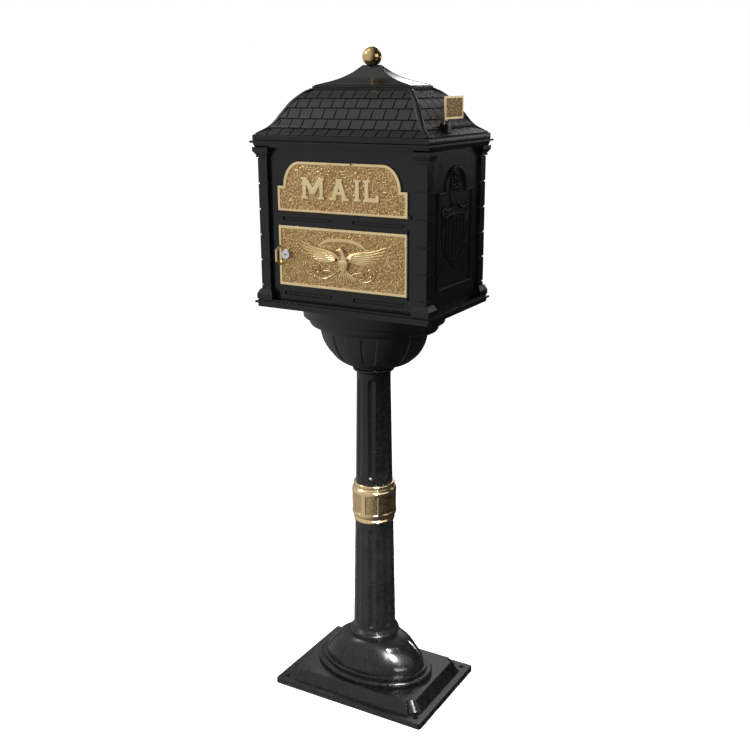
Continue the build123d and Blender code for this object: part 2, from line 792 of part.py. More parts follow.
with BuildPart() as mail_baffle:
    flange_y = -front_wall_y + wall_thickness
    with BuildSketch(Plane.YZ):
        with BuildLine():
            Polyline(
                (flange_y, baffle_foot_z),
                (flange_y + baffle_thickness, baffle_foot_z),
                (flange_y + baffle_thickness, baffle_bend_z),
                (baffle_lip_y, baffle_lip_z),
                (baffle_lip_y, baffle_lip_z + 2),
                (flange_y, baffle_bend_z + 3),
                close=True,
            )
        make_face()
    extrude(amount=baffle_width / 2, both=True)
    for screw_x in baffle_screw_xs:
        with Locations(Location((screw_x, flange_y, baffle_screw_z), (90, 0, 0))):
            Cylinder(baffle_screw_radius, 6, mode=Mode.SUBTRACT)
save(mail_baffle, "mail_baffle")

with BuildPart() as baffle_screws:
    for screw_x in baffle_screw_xs:
        with Locations(Location((screw_x, flange_y + baffle_thickness, baffle_screw_z), (90, 0, 0))):
            Cylinder(baffle_screw_radius, 4, align=on_foot)
            Cylinder(2 * baffle_screw_radius, 1.8, align=on_head)
save(baffle_screws, "baffle_screws")

# ---------------------------------------------------------------- roof

roof_outside = roof_block(0, 0, roof_bottom_z)

with BuildPart() as roof_shell:
    add(roof_outside)
    add(roof_block(roof_wall, roof_wall * 0.75, roof_bottom_z), mode=Mode.SUBTRACT)
    with BuildSketch(Plane.XY.offset(roof_bottom_z)):
        with GridLocations(2 * roof_boss_x, 2 * roof_boss_y, 2, 2):
            Circle(roof_boss_radius)
    extrude(amount=roof_boss_top_z - roof_bottom_z + 3)
    with Locations((0, 0, roof_bottom_z)):
        with GridLocations(2 * roof_boss_x, 2 * roof_boss_y, 2, 2):
            Cylinder(roof_screw_radius, 14, align=on_foot, mode=Mode.SUBTRACT)
    with Locations((0, 0, cap_lip_bottom_z)):
        Hole(stud_radius)
save(roof_shell, "roof_shell")

with BuildPart() as roof_screws:
    with GridLocations(2 * roof_boss_x, 2 * roof_boss_y, 2, 2):
        with Locations((0, 0, wall_top_z)):
            Cylinder(roof_screw_radius, 24, align=on_foot)
            Cylinder(2 * roof_screw_radius, 2.5, align=on_head)
save(roof_screws, "roof_screws")

with BuildPart() as roof_cap:
    add(hipped_block(
        [(share * cap_length / 2, z) for share, z in cap_slope],
        [(share * cap_depth / 2, z) for share, z in cap_slope],
        cap_lip_bottom_z,
    ))
    with Locations((0, 0, cap_slope[-1][1])):
        Cylinder(finial_seat_radius, 4, align=on_head)
    with BuildSketch(Plane.XY.offset(cap_lip_bottom_z)):
        Rectangle(cap_length - 2 * cap_pocket_margin, cap_depth - 2 * cap_pocket_margin)
    extrude(amount=cap_pocket_top_z - cap_lip_bottom_z, mode=Mode.SUBTRACT)
    with Locations((0, 0, cap_slope[-1][1])):
        Hole(stud_radius)
save(roof_cap, "roof_cap")

with BuildPart() as ball_finial:
    with Locations((0, 0, ball_centre_z)):
        Sphere(ball_radius)
    split(bisect_by=Plane.XY.offset(cap_slope[-1][1]), keep=Keep.TOP)
    with Locations((0, 0, cap_slope[-1][1])):
        Cylinder(stud_radius, stud_top_z - cap_slope[-1][1], align=on_foot, mode=Mode.SUBTRACT)
save(ball_finial, "ball_finial")

with BuildPart() as finial_stud:
    with BuildSketch(Plane.XY.offset(stud_bottom_z)):
        Circle(stud_radius)
    extrude(amount=stud_top_z - stud_bottom_z)
save(finial_stud, "finial_stud")

roof_underside_z = cap_lip_bottom_z - roof_wall * 0.75

with BuildPart() as finial_nut:
    with BuildSketch(Plane.XY.offset(roof_underside_z - finial_nut_height)):
        RegularPolygon(hex_head_flats / 2, 6, major_radius=False)
        Circle(stud_radius, mode=Mode.SUBTRACT)
    extrude(amount=finial_nut_height)
save(finial_nut, "finial_nut")

# ---------------------------------------------------------------- doors

door_thickness = door_face_y - door_back_y

with BuildPart() as mail_door:
    with BuildSketch(Plane.XZ.offset(door_back_y)):
        add(mail_door_face(0))
    extrude(amount=door_thickness)
    bottom_edges = mail_door.faces().sort_by(Axis.Z)[0].edges().filter_by(Axis.X)
    fillet(bottom_edges, door_edge_radius - 0.05)
    with BuildSketch(Plane.XZ.offset(door_face_y - door_field_depth)):
        add(mail_door_face(-door_border))
    extrude(amount=door_field_depth, mode=Mode.SUBTRACT)
    with Locations((0, -door_face_y - 2, mail_top_z - 1.5)):
        Box(finger_lip_width, 6, 3)
    with Locations(Location((0, -hinge_y, mail_hinge_z), (0, 90, 0))):
        for end in (-1, 1):
            with Locations((0, 0, end * (door_half_width - hinge_bore_depth / 2))):
                Cylinder(hinge_bore_radius, hinge_bore_depth, mode=Mode.SUBTRACT)
save(mail_door, "mail_door")

with BuildPart() as locker_door:
    with BuildSketch(Plane.XZ.offset(door_back_y)):
        add(locker_door_face(0))
    extrude(amount=door_thickness)
    hinge_edges = locker_door.faces().sort_by(Axis.X)[-1].edges().filter_by(Axis.Z)
    fillet(hinge_edges, door_edge_radius - 0.05)
    with BuildSketch(Plane.XZ.offset(door_face_y - door_field_depth)):
        add(locker_door_face(-door_border))
    extrude(amount=door_field_depth, mode=Mode.SUBTRACT)
    for bore_z in (locker_bottom_z + hinge_bore_depth / 2, locker_top_z - hinge_bore_depth / 2):
        with Locations((locker_hinge_x, -hinge_y, bore_z)):
            Cylinder(hinge_bore_radius, hinge_bore_depth, mode=Mode.SUBTRACT)
    with Locations(Location((lock_x, -hinge_y, lock_z), (90, 0, 0))):
        Cylinder(lock_body_radius, door_thickness * 2, mode=Mode.SUBTRACT)
save(locker_door, "locker_door")

with BuildPart() as mail_door_pins:
    pin_length = hinge_lug_size + hinge_lug_gap + hinge_bore_depth - 2
    for end in (-1, 1):
        pin_x = end * (mail_lug_x + hinge_lug_size / 2 - pin_length / 2)
        with Locations(Location((pin_x, -hinge_y, mail_hinge_z), (0, 90, 0))):
            Cylinder(hinge_pin_radius, pin_length)
save(mail_door_pins, "mail_door_pins")

with BuildPart() as locker_door_pins:
    for lug_z, end in zip(locker_lug_zs, (1, -1)):
        pin_z = lug_z + end * (pin_length - hinge_lug_size) / 2
        with Locations((locker_hinge_x, -hinge_y, pin_z)):
            Cylinder(hinge_pin_radius, pin_length)
save(locker_door_pins, "locker_door_pins")

with BuildPart() as door_handle:
    foot_half = handle_foot_height / 2
    bar_half = handle_bar_height / 2
    foot_y = -door_face_y
    bar_y = foot_y - handle_reach
    with BuildSketch(Plane.YZ.offset(-door_half_width)):
        with BuildLine():
            Polyline(
                (foot_y, handle_centre_z - foot_half),
                (bar_y, handle_centre_z - bar_half),
                (bar_y, handle_centre_z + bar_half),
                (foot_y, handle_centre_z + foot_half),
                (foot_y, handle_centre_z + foot_half - 1.5 * handle_strap),
                (bar_y + handle_strap, handle_centre_z + bar_half - handle_strap / 2),
                (bar_y + handle_strap, handle_centre_z - bar_half + handle_strap / 2),
                (foot_y, handle_centre_z - foot_half + 1.5 * handle_strap),
                close=True,
            )
        make_face()
    extrude(amount=handle_thickness)
save(door_handle, "door_handle")

# ---------------------------------------------------------------- lock

door_field_y = door_face_y - door_field_depth

with BuildPart() as lock_body:
    with BuildSketch(Plane.XZ.offset(door_field_y)):
        with Locations((lock_x, lock_z)):
            Circle(lock_head_radius)
    extrude(amount=lock_face_y - door_field_y)
    chamfer(lock_body.faces().sort_by(Axis.Y)[0].edges(), 1.2)
    with BuildSketch(Plane.XZ.offset(lock_back_y)):
        with Locations((lock_x, lock_z)):
            Circle(lock_body_radius)
    extrude(amount=door_field_y - lock_back_y)
    with BuildSketch(Plane.XZ.offset(lock_back_y)):
        with Locations((lock_x, lock_z)):
            Circle(plug_bore_radius)
    extrude(amount=lock_face_y - lock_back_y, mode=Mode.SUBTRACT)
save(lock_body, "lock_body")

with BuildPart() as lock_nut:
    with BuildSketch(Plane.XZ.offset(door_back_y - lock_nut_height)):
        with Locations((lock_x, lock_z)):
            RegularPolygon(lock_nut_flats / 2, 6, major_radius=False, rotation=30)
            Circle(lock_body_radius, mode=Mode.SUBTRACT)
    extrude(amount=lock_nut_height)
save(lock_nut, "lock_nut")

with BuildPart() as lock_plug:
    with BuildSketch(Plane.XZ.offset(cam_front_y)):
        with Locations((lock_x, lock_z)):
            Circle(plug_radius)
    extrude(amount=lock_face_y - 0.4 - cam_front_y)
    with BuildSketch(Plane.XZ.offset(lock_face_y - 0.4)):
        with Locations((lock_x, lock_z)):
            SlotOverall(7.5, 2.2)
    extrude(amount=-9, mode=Mode.SUBTRACT)
    with BuildSketch(Plane.XZ.offset(cam_back_y)):
        with Locations((lock_x, lock_z)):
            Circle(cam_hub_radius)
    extrude(amount=cam_front_y - cam_back_y)
    with BuildSketch(Plane.XZ.offset(cam_back_y)):
        with Locations((lock_x, lock_z)):
            Circle(cam_screw_radius)
    extrude(amount=5, mode=Mode.SUBTRACT)
save(lock_plug, "lock_plug")

with BuildPart() as lock_cam:
    with BuildSketch(Plane.XZ.offset(cam_back_y)):
        with Locations((lock_x, lock_z - cam_reach / 2)):
            SlotOverall(cam_reach + cam_width, cam_width, rotation=90)
        with Locations((lock_x, lock_z)):
            Circle(cam_hub_radius, mode=Mode.SUBTRACT)
    extrude(amount=cam_front_y - cam_back_y)
save(lock_cam, "lock_cam")

with BuildPart() as cam_screw:
    with BuildSketch(Plane.XZ.offset(cam_back_y)):
        with Locations((lock_x, lock_z)):
            Circle(cam_screw_radius)
    extrude(amount=5)
    with BuildSketch(Plane.XZ.offset(cam_back_y - 2.4)):
        with Locations((lock_x, lock_z)):
            Circle(4.8)
    extrude(amount=2.4)
save(cam_screw, "cam_screw")

# ---------------------------------------------------------------- flag

with BuildPart() as flag_bracket:
    for ear in (-1, 1):
        ear_x = flag_x + ear * (ear_gap + ear_thickness) / 2 - ear_thickness / 2
        with BuildSketch(Plane.YZ.offset(ear_x)):
            with Locations((flag_pivot_y, flag_pivot_z)):
                Circle(ear_radius)
            with Locations((flag_pivot_y, flag_pivot_z - ear_radius)):
                Rectangle(2 * ear_radius, 2 * ear_radius)
            with Locations((flag_pivot_y, flag_pivot_z)):
                Circle(flag_pin_radius, mode=Mode.SUBTRACT)
        extrude(amount=ear_thickness)
    with Locations((flag_x, flag_pivot_y, flag_pivot_z - flag_hub_radius - 0.6)):
        Box(ear_gap, 2 * ear_radius, 10, align=on_head)
    add(roof_outside, mode=Mode.SUBTRACT)
save(flag_bracket, "flag_bracket")

with BuildPart() as flag_pin:
    with Locations(Location((flag_x, flag_pivot_y, flag_pivot_z), (0, 90, 0))):
        Cylinder(flag_pin_radius, ear_gap + 2 * ear_thickness)
save(flag_pin, "flag_pin")

flag_plate_centre = (flag_plate_front_y + flag_plate_length / 2, flag_plate_bottom_z + flag_plate_height / 2)

with BuildPart() as flag:
    with BuildSketch(Plane.YZ.offset(flag_x - flag_thickness / 2)):
        with Locations(flag_plate_centre):
            Rectangle(flag_plate_length, flag_plate_height)
        with Locations((flag_pivot_y, (flag_pivot_z + flag_plate_bottom_z) / 2)):
            Rectangle(flag_hub_radius * 1.6, flag_plate_bottom_z - flag_pivot_z)
        with Locations((flag_pivot_y, flag_pivot_z)):
            Circle(flag_hub_radius)
            Circle(flag_bore_radius, mode=Mode.SUBTRACT)
    extrude(amount=flag_thickness)
    with BuildSketch(Plane.YZ.offset(flag_x + flag_thickness / 2 - 0.8)):
        with Locations(flag_plate_centre):
            Rectangle(flag_plate_length - 2 * flag_border, flag_plate_height - 2 * flag_border)
    extrude(amount=0.8, mode=Mode.SUBTRACT)
save(flag, "flag")
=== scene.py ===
import json
import math
import random

import bpy
import numpy as np
from mathutils import Euler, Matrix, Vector, noise


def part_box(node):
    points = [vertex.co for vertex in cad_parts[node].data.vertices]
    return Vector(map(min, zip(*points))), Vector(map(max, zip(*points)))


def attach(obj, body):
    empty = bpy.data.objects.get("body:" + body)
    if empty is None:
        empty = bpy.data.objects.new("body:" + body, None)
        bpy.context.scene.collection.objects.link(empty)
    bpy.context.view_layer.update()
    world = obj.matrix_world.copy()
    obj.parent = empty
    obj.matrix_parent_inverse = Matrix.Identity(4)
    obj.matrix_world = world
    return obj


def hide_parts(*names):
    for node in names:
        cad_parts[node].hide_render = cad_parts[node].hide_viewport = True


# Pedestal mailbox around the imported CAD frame. Mesh helpers work in millimetres;
# pieces are written in metres, in the CAD frame: Z up, front towards -Y.

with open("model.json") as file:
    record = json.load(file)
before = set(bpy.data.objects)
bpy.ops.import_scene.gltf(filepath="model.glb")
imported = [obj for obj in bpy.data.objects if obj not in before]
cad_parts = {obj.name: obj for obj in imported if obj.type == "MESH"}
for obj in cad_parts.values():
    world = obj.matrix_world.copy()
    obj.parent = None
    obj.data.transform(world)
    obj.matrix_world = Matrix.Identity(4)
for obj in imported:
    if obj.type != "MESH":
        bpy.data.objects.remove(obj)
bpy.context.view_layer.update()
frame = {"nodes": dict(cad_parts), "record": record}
scene = bpy.context.scene
MM = 0.001


def cad_box_mm(node):
    """Lowest and highest corner of a CAD node in millimetres."""
    low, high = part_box(node)
    return [c / MM for c in low], [c / MM for c in high]


# ---------------------------------------------------------------- materials

def node_of(tree, kind, **settings):
    """Add a shader node and set its plain properties."""
    made = tree.nodes.new(kind)
    for key, value in settings.items():
        setattr(made, key, value)
    return made


def noise_at(tree, coords, scale, detail=4.0, rough=0.55):
    """Noise texture in object space; scale is features per metre."""
    tex = node_of(tree, "ShaderNodeTexNoise")
    tex.inputs["Scale"].default_value = scale
    tex.inputs["Detail"].default_value = detail
    tex.inputs["Roughness"].default_value = rough
    tree.links.new(coords, tex.inputs["Vector"])
    return tex.outputs["Fac"]


def ramp(tree, source, stops):
    """Colour ramp from (position, colour) stops."""
    made = node_of(tree, "ShaderNodeValToRGB")
    elements = made.color_ramp.elements
    while len(elements) < len(stops):
        elements.new(0.5)
    for element, (position, colour) in zip(elements, stops):
        element.position = position
        element.color = (*colour, 1.0)
    tree.links.new(source, made.inputs["Fac"])
    return made.outputs["Color"]


def spread(tree, source, low, high, start=0.3, end=0.7):
    """Map a noise value to a range."""
    made = node_of(tree, "ShaderNodeMapRange")
    made.inputs["From Min"].default_value = start
    made.inputs["From Max"].default_value = end
    made.inputs["To Min"].default_value = low
    made.inputs["To Max"].default_value = high
    tree.links.new(source, made.inputs["Value"])
    return made.outputs["Result"]


def multiplied(tree, first, second):
    """Multiply two colours."""
    made = node_of(tree, "ShaderNodeMix", data_type="RGBA", blend_type="MULTIPLY")
    made.inputs[0].default_value = 1.0
    tree.links.new(first, made.inputs[6])
    tree.links.new(second, made.inputs[7])
    return made.outputs[2]


def metal(name, tones, metallic, roughness, grain, bump,
          shade_and_patina_tones=None, cloud=18.0, brushed=None, edge_round=0.0):
    """Procedural finish: clouded tone, varied roughness and a fine surface grain.

    tones are two colours, roughness a range, grain is (scale per metre, detail), bump is
    (strength, distance in mm). The relief tone stops darken the low parts of a modelled relief as painted
    shade, partly patina in the hollows; cloud is the tone's scale per metre, and edge_round softens shading
    at edges, in mm.
    """
    material = bpy.data.materials.new(name)
    material.use_nodes = True
    tree = material.node_tree
    shader = tree.nodes["Principled BSDF"]
    coords = node_of(tree, "ShaderNodeTexCoord").outputs["Object"]
    if brushed:
        stretch = node_of(tree, "ShaderNodeMapping")
        stretch.inputs["Scale"].default_value = brushed
        tree.links.new(coords, stretch.inputs["Vector"])
        grain_coords = stretch.outputs["Vector"]
    else:
        grain_coords = coords
    broad = noise_at(tree, coords, cloud, 5.0, 0.6)
    fine = noise_at(tree, grain_coords, grain[0], grain[1], 0.6)
    colour = ramp(tree, broad, ((0.32, tones[0]), (0.68, tones[1])))
    # painted shade: the relief level darkens low parts and flanks of a relief, partly standing for patina in
    # the hollows
    if shade_and_patina_tones:
        height = node_of(tree, "ShaderNodeAttribute", attribute_name="relief").outputs["Fac"]
        shade_and_patina = ramp(tree, height, shade_and_patina_tones)
        colour = multiplied(tree, colour, shade_and_patina)
    tree.links.new(colour, shader.inputs["Base Color"])
    shader.inputs["Metallic"].default_value = metallic
    blotch = noise_at(tree, coords, cloud * 4, 4.0, 0.65)
    tree.links.new(spread(tree, blotch, *roughness), shader.inputs["Roughness"])
    bumps = node_of(tree, "ShaderNodeBump")
    bumps.inputs["Strength"].default_value = bump[0]
    bumps.inputs["Distance"].default_value = bump[1] * MM
    tree.links.new(fine, bumps.inputs["Height"])
    if edge_round:
        rounding = node_of(tree, "ShaderNodeBevel", samples=4)
        rounding.inputs["Radius"].default_value = edge_round * MM
        tree.links.new(rounding.outputs["Normal"], bumps.inputs["Normal"])
    tree.links.new(bumps.outputs["Normal"], shader.inputs["Normal"])
    return material


ENAMEL_TONES = ((0.0022, 0.0022, 0.0024), (0.0045, 0.0045, 0.0048))
ENAMEL_EDGE = 0.9
black = metal(
    "black_enamel", ENAMEL_TONES, 0.0, (0.22, 0.32), (520.0, 3.0), (0.10, 0.3), edge_round=ENAMEL_EDGE
)
pebbled = metal(
    "black_pebbled", ENAMEL_TONES, 0.0, (0.26, 0.38), (420.0, 2.0), (0.8, 0.8), edge_round=ENAMEL_EDGE
)
# brass_cast paints shade into the low relief of the hammering, bird and flag, partly patina in the hollows
brass = metal(
    "brass_cast", ((0.76, 0.56, 0.28), (0.84, 0.65, 0.36)), 0.9, (0.24, 0.34), (900.0, 3.0), (0.25, 0.25),
    shade_and_patina_tones=((0.0, (0.34, 0.23, 0.12)), (0.5, (0.80, 0.73, 0.63)), (1.0, (1.0, 1.0, 1.0))),
)
brass_plain = metal(
    "brass_smooth", ((0.82, 0.63, 0.34), (0.88, 0.70, 0.41)), 0.9, (0.22, 0.32), (700.0, 3.0), (0.1, 0.2),
    edge_round=0.7,
)
brass_bright = metal(
    "brass_polished", ((0.70, 0.47, 0.20), (0.78, 0.55, 0.26)), 1.0, (0.06, 0.11), (600.0, 2.0), (0.05, 0.15)
)
# brass_collar paints shade into its recessed hammered panels, partly patina in the hollows
brass_collar = metal(
    "brass_collar", ((0.78, 0.60, 0.33), (0.86, 0.68, 0.41)), 1.0, (0.16, 0.26), (800.0, 3.0), (0.12, 0.2),
    shade_and_patina_tones=((0.0, (0.40, 0.30, 0.20)), (0.6, (0.92, 0.9, 0.86)), (1.0, (1.0, 1.0, 1.0))),
)
chrome = metal(
    "chrome", ((0.72, 0.73, 0.76), (0.80, 0.81, 0.84)), 1.0, (0.08, 0.15), (1500.0, 2.0), (0.05, 0.1)
)
steel = metal(
    "zinc_steel", ((0.46, 0.47, 0.49), (0.60, 0.60, 0.60)), 1.0, (0.30, 0.45), (1800.0, 2.0), (0.2, 0.15),
    cloud=90.0, brushed=(1.0, 1.0, 0.15),
)

for enamel in (black, pebbled):
    enamel.node_tree.nodes["Principled BSDF"].inputs["Specular IOR Level"].default_value = 0.4

finish_of_slot = {
    "black_paint": black,
    "brass": brass_plain,
    "polished_brass": brass_bright,
    "chrome": chrome,
    "steel": steel,
}
slot_of_node = {part["node"]: part["material_slot"] for part in frame["record"]["subparts"]}
SHARP_ANGLE = math.radians(32)


def paint(node, material):
    """Give a carried-over CAD node its finish."""
    piece = frame["nodes"][node]
    piece.data.materials.clear()
    piece.data.materials.append(material)


for node, slot in slot_of_node.items():
    paint(node, finish_of_slot[slot])
for side in ("right", "left"):
    paint(f"{side}_side_panel", pebbled)


# ---------------------------------------------------------------- mesh helpers

def piece_from(name, points, faces, material, body, slot, relief=None, replaced=(), sharp=SHARP_ANGLE):
    """Make one mesh piece from millimetre points and ride it on a body; its slot is not used."""
    mesh = bpy.data.meshes.new(name)
    mesh.from_pydata((np.asarray(points, float) * MM).tolist(), [], faces)
    mesh.validate()
    mesh.update()
    mesh.shade_smooth()
    mesh.set_sharp_from_angle(angle=sharp)
    mesh.materials.append(material)
    # per-point relief level, which the brass finishes turn into painted shade, partly patina
    if relief is not None:
        layer = mesh.attributes.new("relief", "FLOAT", "POINT")
        layer.data.foreach_set("value", np.asarray(relief, np.float32))
    piece = bpy.data.objects.new(name, mesh)
    scene.collection.objects.link(piece)
    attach(piece, body)
    if replaced:
        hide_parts(*replaced)
    return piece


def grid_faces(rows, columns, start=0, wrap=False):
    """Quads of a grid of points stored row by row."""
    faces = []
    last = columns if wrap else columns - 1
    for row in range(rows - 1):
        for column in range(last):
            a = start + row * columns + column
            b = start + row * columns + (column + 1) % columns
            faces.append((a, b, b + columns, a + columns))
    return faces


def loft_rings(rings, closed_ends=True):
    """Points and faces of a tube through rings with the same number of points."""
    points = [p for ring in rings for p in ring]
    count = len(rings[0])
    faces = grid_faces(len(rings), count, wrap=True)
    if closed_ends:
        faces.append(tuple(reversed(range(count))))
        faces.append(tuple(range((len(rings) - 1) * count, len(rings) * count)))
    return points, faces


def merged(parts):
    """Join several (points, faces) sets."""
    points, faces = [], []
    for part_points, part_faces in parts:
        start = len(points)
        points.extend(part_points)
        faces.extend(tuple(i + start for i in face) for face in part_faces)
    return points, faces


def smooth_line(knots, count):
    """Evenly numbered points on a Catmull-Rom curve through the knots."""
    knots = [np.array(k, float) for k in knots]
    ends = [2 * knots[0] - knots[1]] + knots + [2 * knots[-1] - knots[-2]]
    line = []
    for i in range(count):
        t = i / (count - 1) * (len(knots) - 1)
        k = min(int(t), len(knots) - 2)
        f = t - k
        p0, p1, p2, p3 = ends[k:k + 4]
        line.append(0.5 * (2 * p1 + (p2 - p0) * f + (2 * p0 - 5 * p1 + 4 * p2 - p3) * f ** 2
                           + (3 * p1 - p0 - 3 * p2 + p3) * f ** 3))
    return line


# ---------------------------------------------------------------- roof

roof_low, roof_high = cad_box_mm("roof_shell")
EAVE_X, EAVE_Y, ROOF_FOOT = roof_high[0], roof_high[1], roof_low[2]
ROOF_CURVE = ((0.0, 1220.5), (24.0, 1237.5), (39.4, 1260.5), (54.5, 1283.0), (72.0, 1300.0), (82.0, 1306.0))
SKIN_DROP = 2.3
ROOF_SAMPLES = 60
slope_line = smooth_line(ROOF_CURVE, ROOF_SAMPLES)
cap_foot = cad_box_mm("roof_cap")[0][2]


def slope_at(height):
    """Distance in from the eave and outward normal (in, up) of the roof curve at a height."""
    for low, high in zip(slope_line, slope_line[1:]):
        if low[1] <= height <= high[1] + 1e-6:
            share = (height - low[1]) / (high[1] - low[1])
            step = (high - low) / np.linalg.norm(high - low)
            return low[0] + (high[0] - low[0]) * share, (step[1], step[0])
    return slope_line[-1][0], (0.5, 0.86)


def roof_ring(inset, z):
    """Four corners of the roof at an inset and a height."""
    x, y = EAVE_X - inset, EAVE_Y - inset
    return [(x, -y, z), (x, y, z), (-x, y, z), (-x, -y, z)]


def roof_skin():
    """Smooth shell under the shingles, closed inside, with a rolled eave."""
    rolled_eave = [(1.2, ROOF_FOOT), (0.3, ROOF_FOOT + 0.6), (0.0, ROOF_FOOT + 2)]
    rolled_eave += [(0.0, 1218.2), (0.5, 1219.6), (1.6, 1220.4)]
    outside = list(rolled_eave)
    for _, z in slope_line[2:]:
        inset, (out, up) = slope_at(z)
        outside.append((inset + SKIN_DROP * out, z - SKIN_DROP * up))
    outside.append((slope_line[-1][0] + 0.6, cap_foot + 0.9))
    inside = [(inset + 3.2, z - 2.4) for inset, z in reversed(outside[len(rolled_eave):])]
    inside.append((4.2, ROOF_FOOT + 6))
    inside.append((4.2, ROOF_FOOT))
    rings = [roof_ring(*step) for step in outside + inside]
    points, faces = loft_rings(rings + [rings[0]], closed_ends=False)
    return points, faces


piece_from(
    "roof_skin", *roof_skin(), black, "frame", "black_paint",
    replaced=("roof_shell",), sharp=math.radians(24),
)

COURSE_HEIGHTS = (1221.4, 1234.0, 1251.0, 1271.0, 1289.0, 1304.6)
FRONT_SHINGLE, SIDE_SHINGLE = 27.0, 30.0
HIP_MARGIN = 8.2
SHINGLE_GAP = 1.5
SHINGLE_BUTT = 2.5
SHINGLE_HEAD = 0.5
draws = random.Random(41)


def shingle(side, left, right, low_z, high_z):
    """One lapped slab: thick at its lower edge, sliding under the next course."""
    across, outward, half_along, half_out = side
    butt = SHINGLE_BUTT + draws.uniform(-0.15, 0.15)
    low_z += draws.uniform(-0.25, 0.25)
    rise = high_z - low_z
    heights = [low_z, low_z, low_z + 0.5, low_z + rise * 0.35, low_z + rise * 0.7, high_z + 0.8]
    lifts = [-0.6, butt - 0.5, butt, butt * 0.78, butt * 0.5, SHINGLE_HEAD]
    rows = []
    for z, lift in zip(heights, lifts):
        inset, (out, up) = slope_at(z)
        reach = half_along - inset - HIP_MARGIN
        first, last = max(left, -reach), min(right, reach)
        if last - first < 2.0:
            first = last = (first + last) / 2
        inner = min(0.5, (last - first) / 4)
        left_edge = ((first, None), (first, 0.5), (first + inner, 0.0))
        right_edge = ((last - inner, 0.0), (last, 0.5), (last, None))
        row = []
        for along, drop in left_edge + right_edge:
            level = -SKIN_DROP - 0.5 if drop is None else lift - SKIN_DROP - drop * min(1.0, max(lift, 0.0))
            distance = half_out - inset + level * out
            row.append(tuple(across * along + outward * distance) + (z + level * up,))
        rows.append(row)
    points = [p for row in rows for p in row]
    faces = [tuple(reversed(f)) for f in grid_faces(len(rows), 6)]
    count = len(rows)
    faces.append(tuple(range(6)))
    faces.append(tuple(reversed(range((count - 1) * 6, count * 6))))
    faces.append(tuple([row * 6 for row in range(count)] + [row * 6 + 5 for row in reversed(range(count))]))
    return points, faces


ROOF_SIDES = (
    (np.array((1.0, 0.0)), np.array((0.0, -1.0)), EAVE_X, EAVE_Y, FRONT_SHINGLE),
    (np.array((0.0, 1.0)), np.array((1.0, 0.0)), EAVE_Y, EAVE_X, SIDE_SHINGLE),
    (np.array((-1.0, 0.0)), np.array((0.0, 1.0)), EAVE_X, EAVE_Y, FRONT_SHINGLE),
    (np.array((0.0, -1.0)), np.array((-1.0, 0.0)), EAVE_Y, EAVE_X, SIDE_SHINGLE),
)

SIDE_LABELS = ("front", "right", "back", "left")
for label, (across, outward, half_along, half_out, pitch) in zip(SIDE_LABELS, ROOF_SIDES):
    slabs = []
    side = (across, outward, half_along, half_out)
    for course, (low_z, high_z) in enumerate(zip(COURSE_HEIGHTS, COURSE_HEIGHTS[1:])):
        reach = half_along - slope_at(low_z)[0] - HIP_MARGIN
        shift = pitch * (0.5 if course % 2 else 0.0)
        start = -math.ceil((reach + shift) / pitch) * pitch + shift
        while start < reach:
            left, right = start + SHINGLE_GAP / 2, start + pitch - SHINGLE_GAP / 2
            if min(right, reach) - max(left, -reach) > 2.5:
                slabs.append(shingle(side, left, right, low_z, high_z))
            start += pitch
    piece_from(f"roof_shingles_{label}", *merged(slabs), black, "frame", "black_paint")


def hip_rib(sign_x, sign_y):
    """Smooth rounded band along one hip of the roof."""
    arm, lift, radius, depth = 8.6, 0.3, 3.2, 5.0
    hub = lift - radius
    arc = [(hub + radius * math.sin(a), hub + radius * math.cos(a)) for a in np.linspace(0, math.pi / 2, 5)]
    outline = [(-arm - 0.5, -0.9), (-arm, lift - 0.2), (-arm + 0.8, lift)] + arc
    outline += [(lift, -arm + 0.8), (lift - 0.2, -arm), (-0.9, -arm - 0.5)]
    outline += [(-depth, -arm - 0.5), (-depth, -depth), (-arm - 0.5, -depth)]
    rings = []
    for inset, z in [tuple(p) for p in slope_line[1:]]:
        corner_x, corner_y = EAVE_X - inset, EAVE_Y - inset
        rings.append([(sign_x * (corner_x + p), sign_y * (corner_y + q), z) for p, q in outline])
    points, faces = loft_rings(rings)
    if sign_x * sign_y < 0:
        return points, faces
    return points, [tuple(reversed(face)) for face in faces]


corner_signs = [(x, y) for x in (1, -1) for y in (1, -1)]
hip_ribs = merged([hip_rib(*signs) for signs in corner_signs])
piece_from("roof_hip_ribs", *hip_ribs, black, "frame", "black_paint")

# pagoda cap: a thin eave with a bead, concave slopes and ribs on its hips
cap_low, cap_high = cad_box_mm("roof_cap")
CAP_CURVE = ((1.0, 1311.5), (0.6, 1322.8), (0.36, 1334.2), (0.207, 1345.4), (0.15, 1350.0))
cap_line = smooth_line(CAP_CURVE, 40)


def cap_ring(share, z, grow=0.0):
    """Four corners of the cap at a share of its half size."""
    x, y = cap_high[0] * share + grow, cap_high[1] * share + grow
    return [(x, -y, z), (x, y, z), (-x, y, z), (-x, -y, z)]


def cap_shell():
    """Cap outside and its flat underside."""
    foot = cap_low[2]
    eave_bead = ((0.8, -3.0), (0.1, -1.2), (0.6, -0.4), (1.6, 0.0), (3.4, 0.0), (4.4, -0.4))
    eave_bead += ((4.9, -1.3), (5.0, -2.2), (5.9, -2.6))
    rings = [cap_ring(1, foot + rise, grow) for rise, grow in eave_bead]
    rings += [cap_ring(share, z + 0.2 * (1 - share)) for share, z in cap_line if z > foot + 6.6]
    return loft_rings(rings)


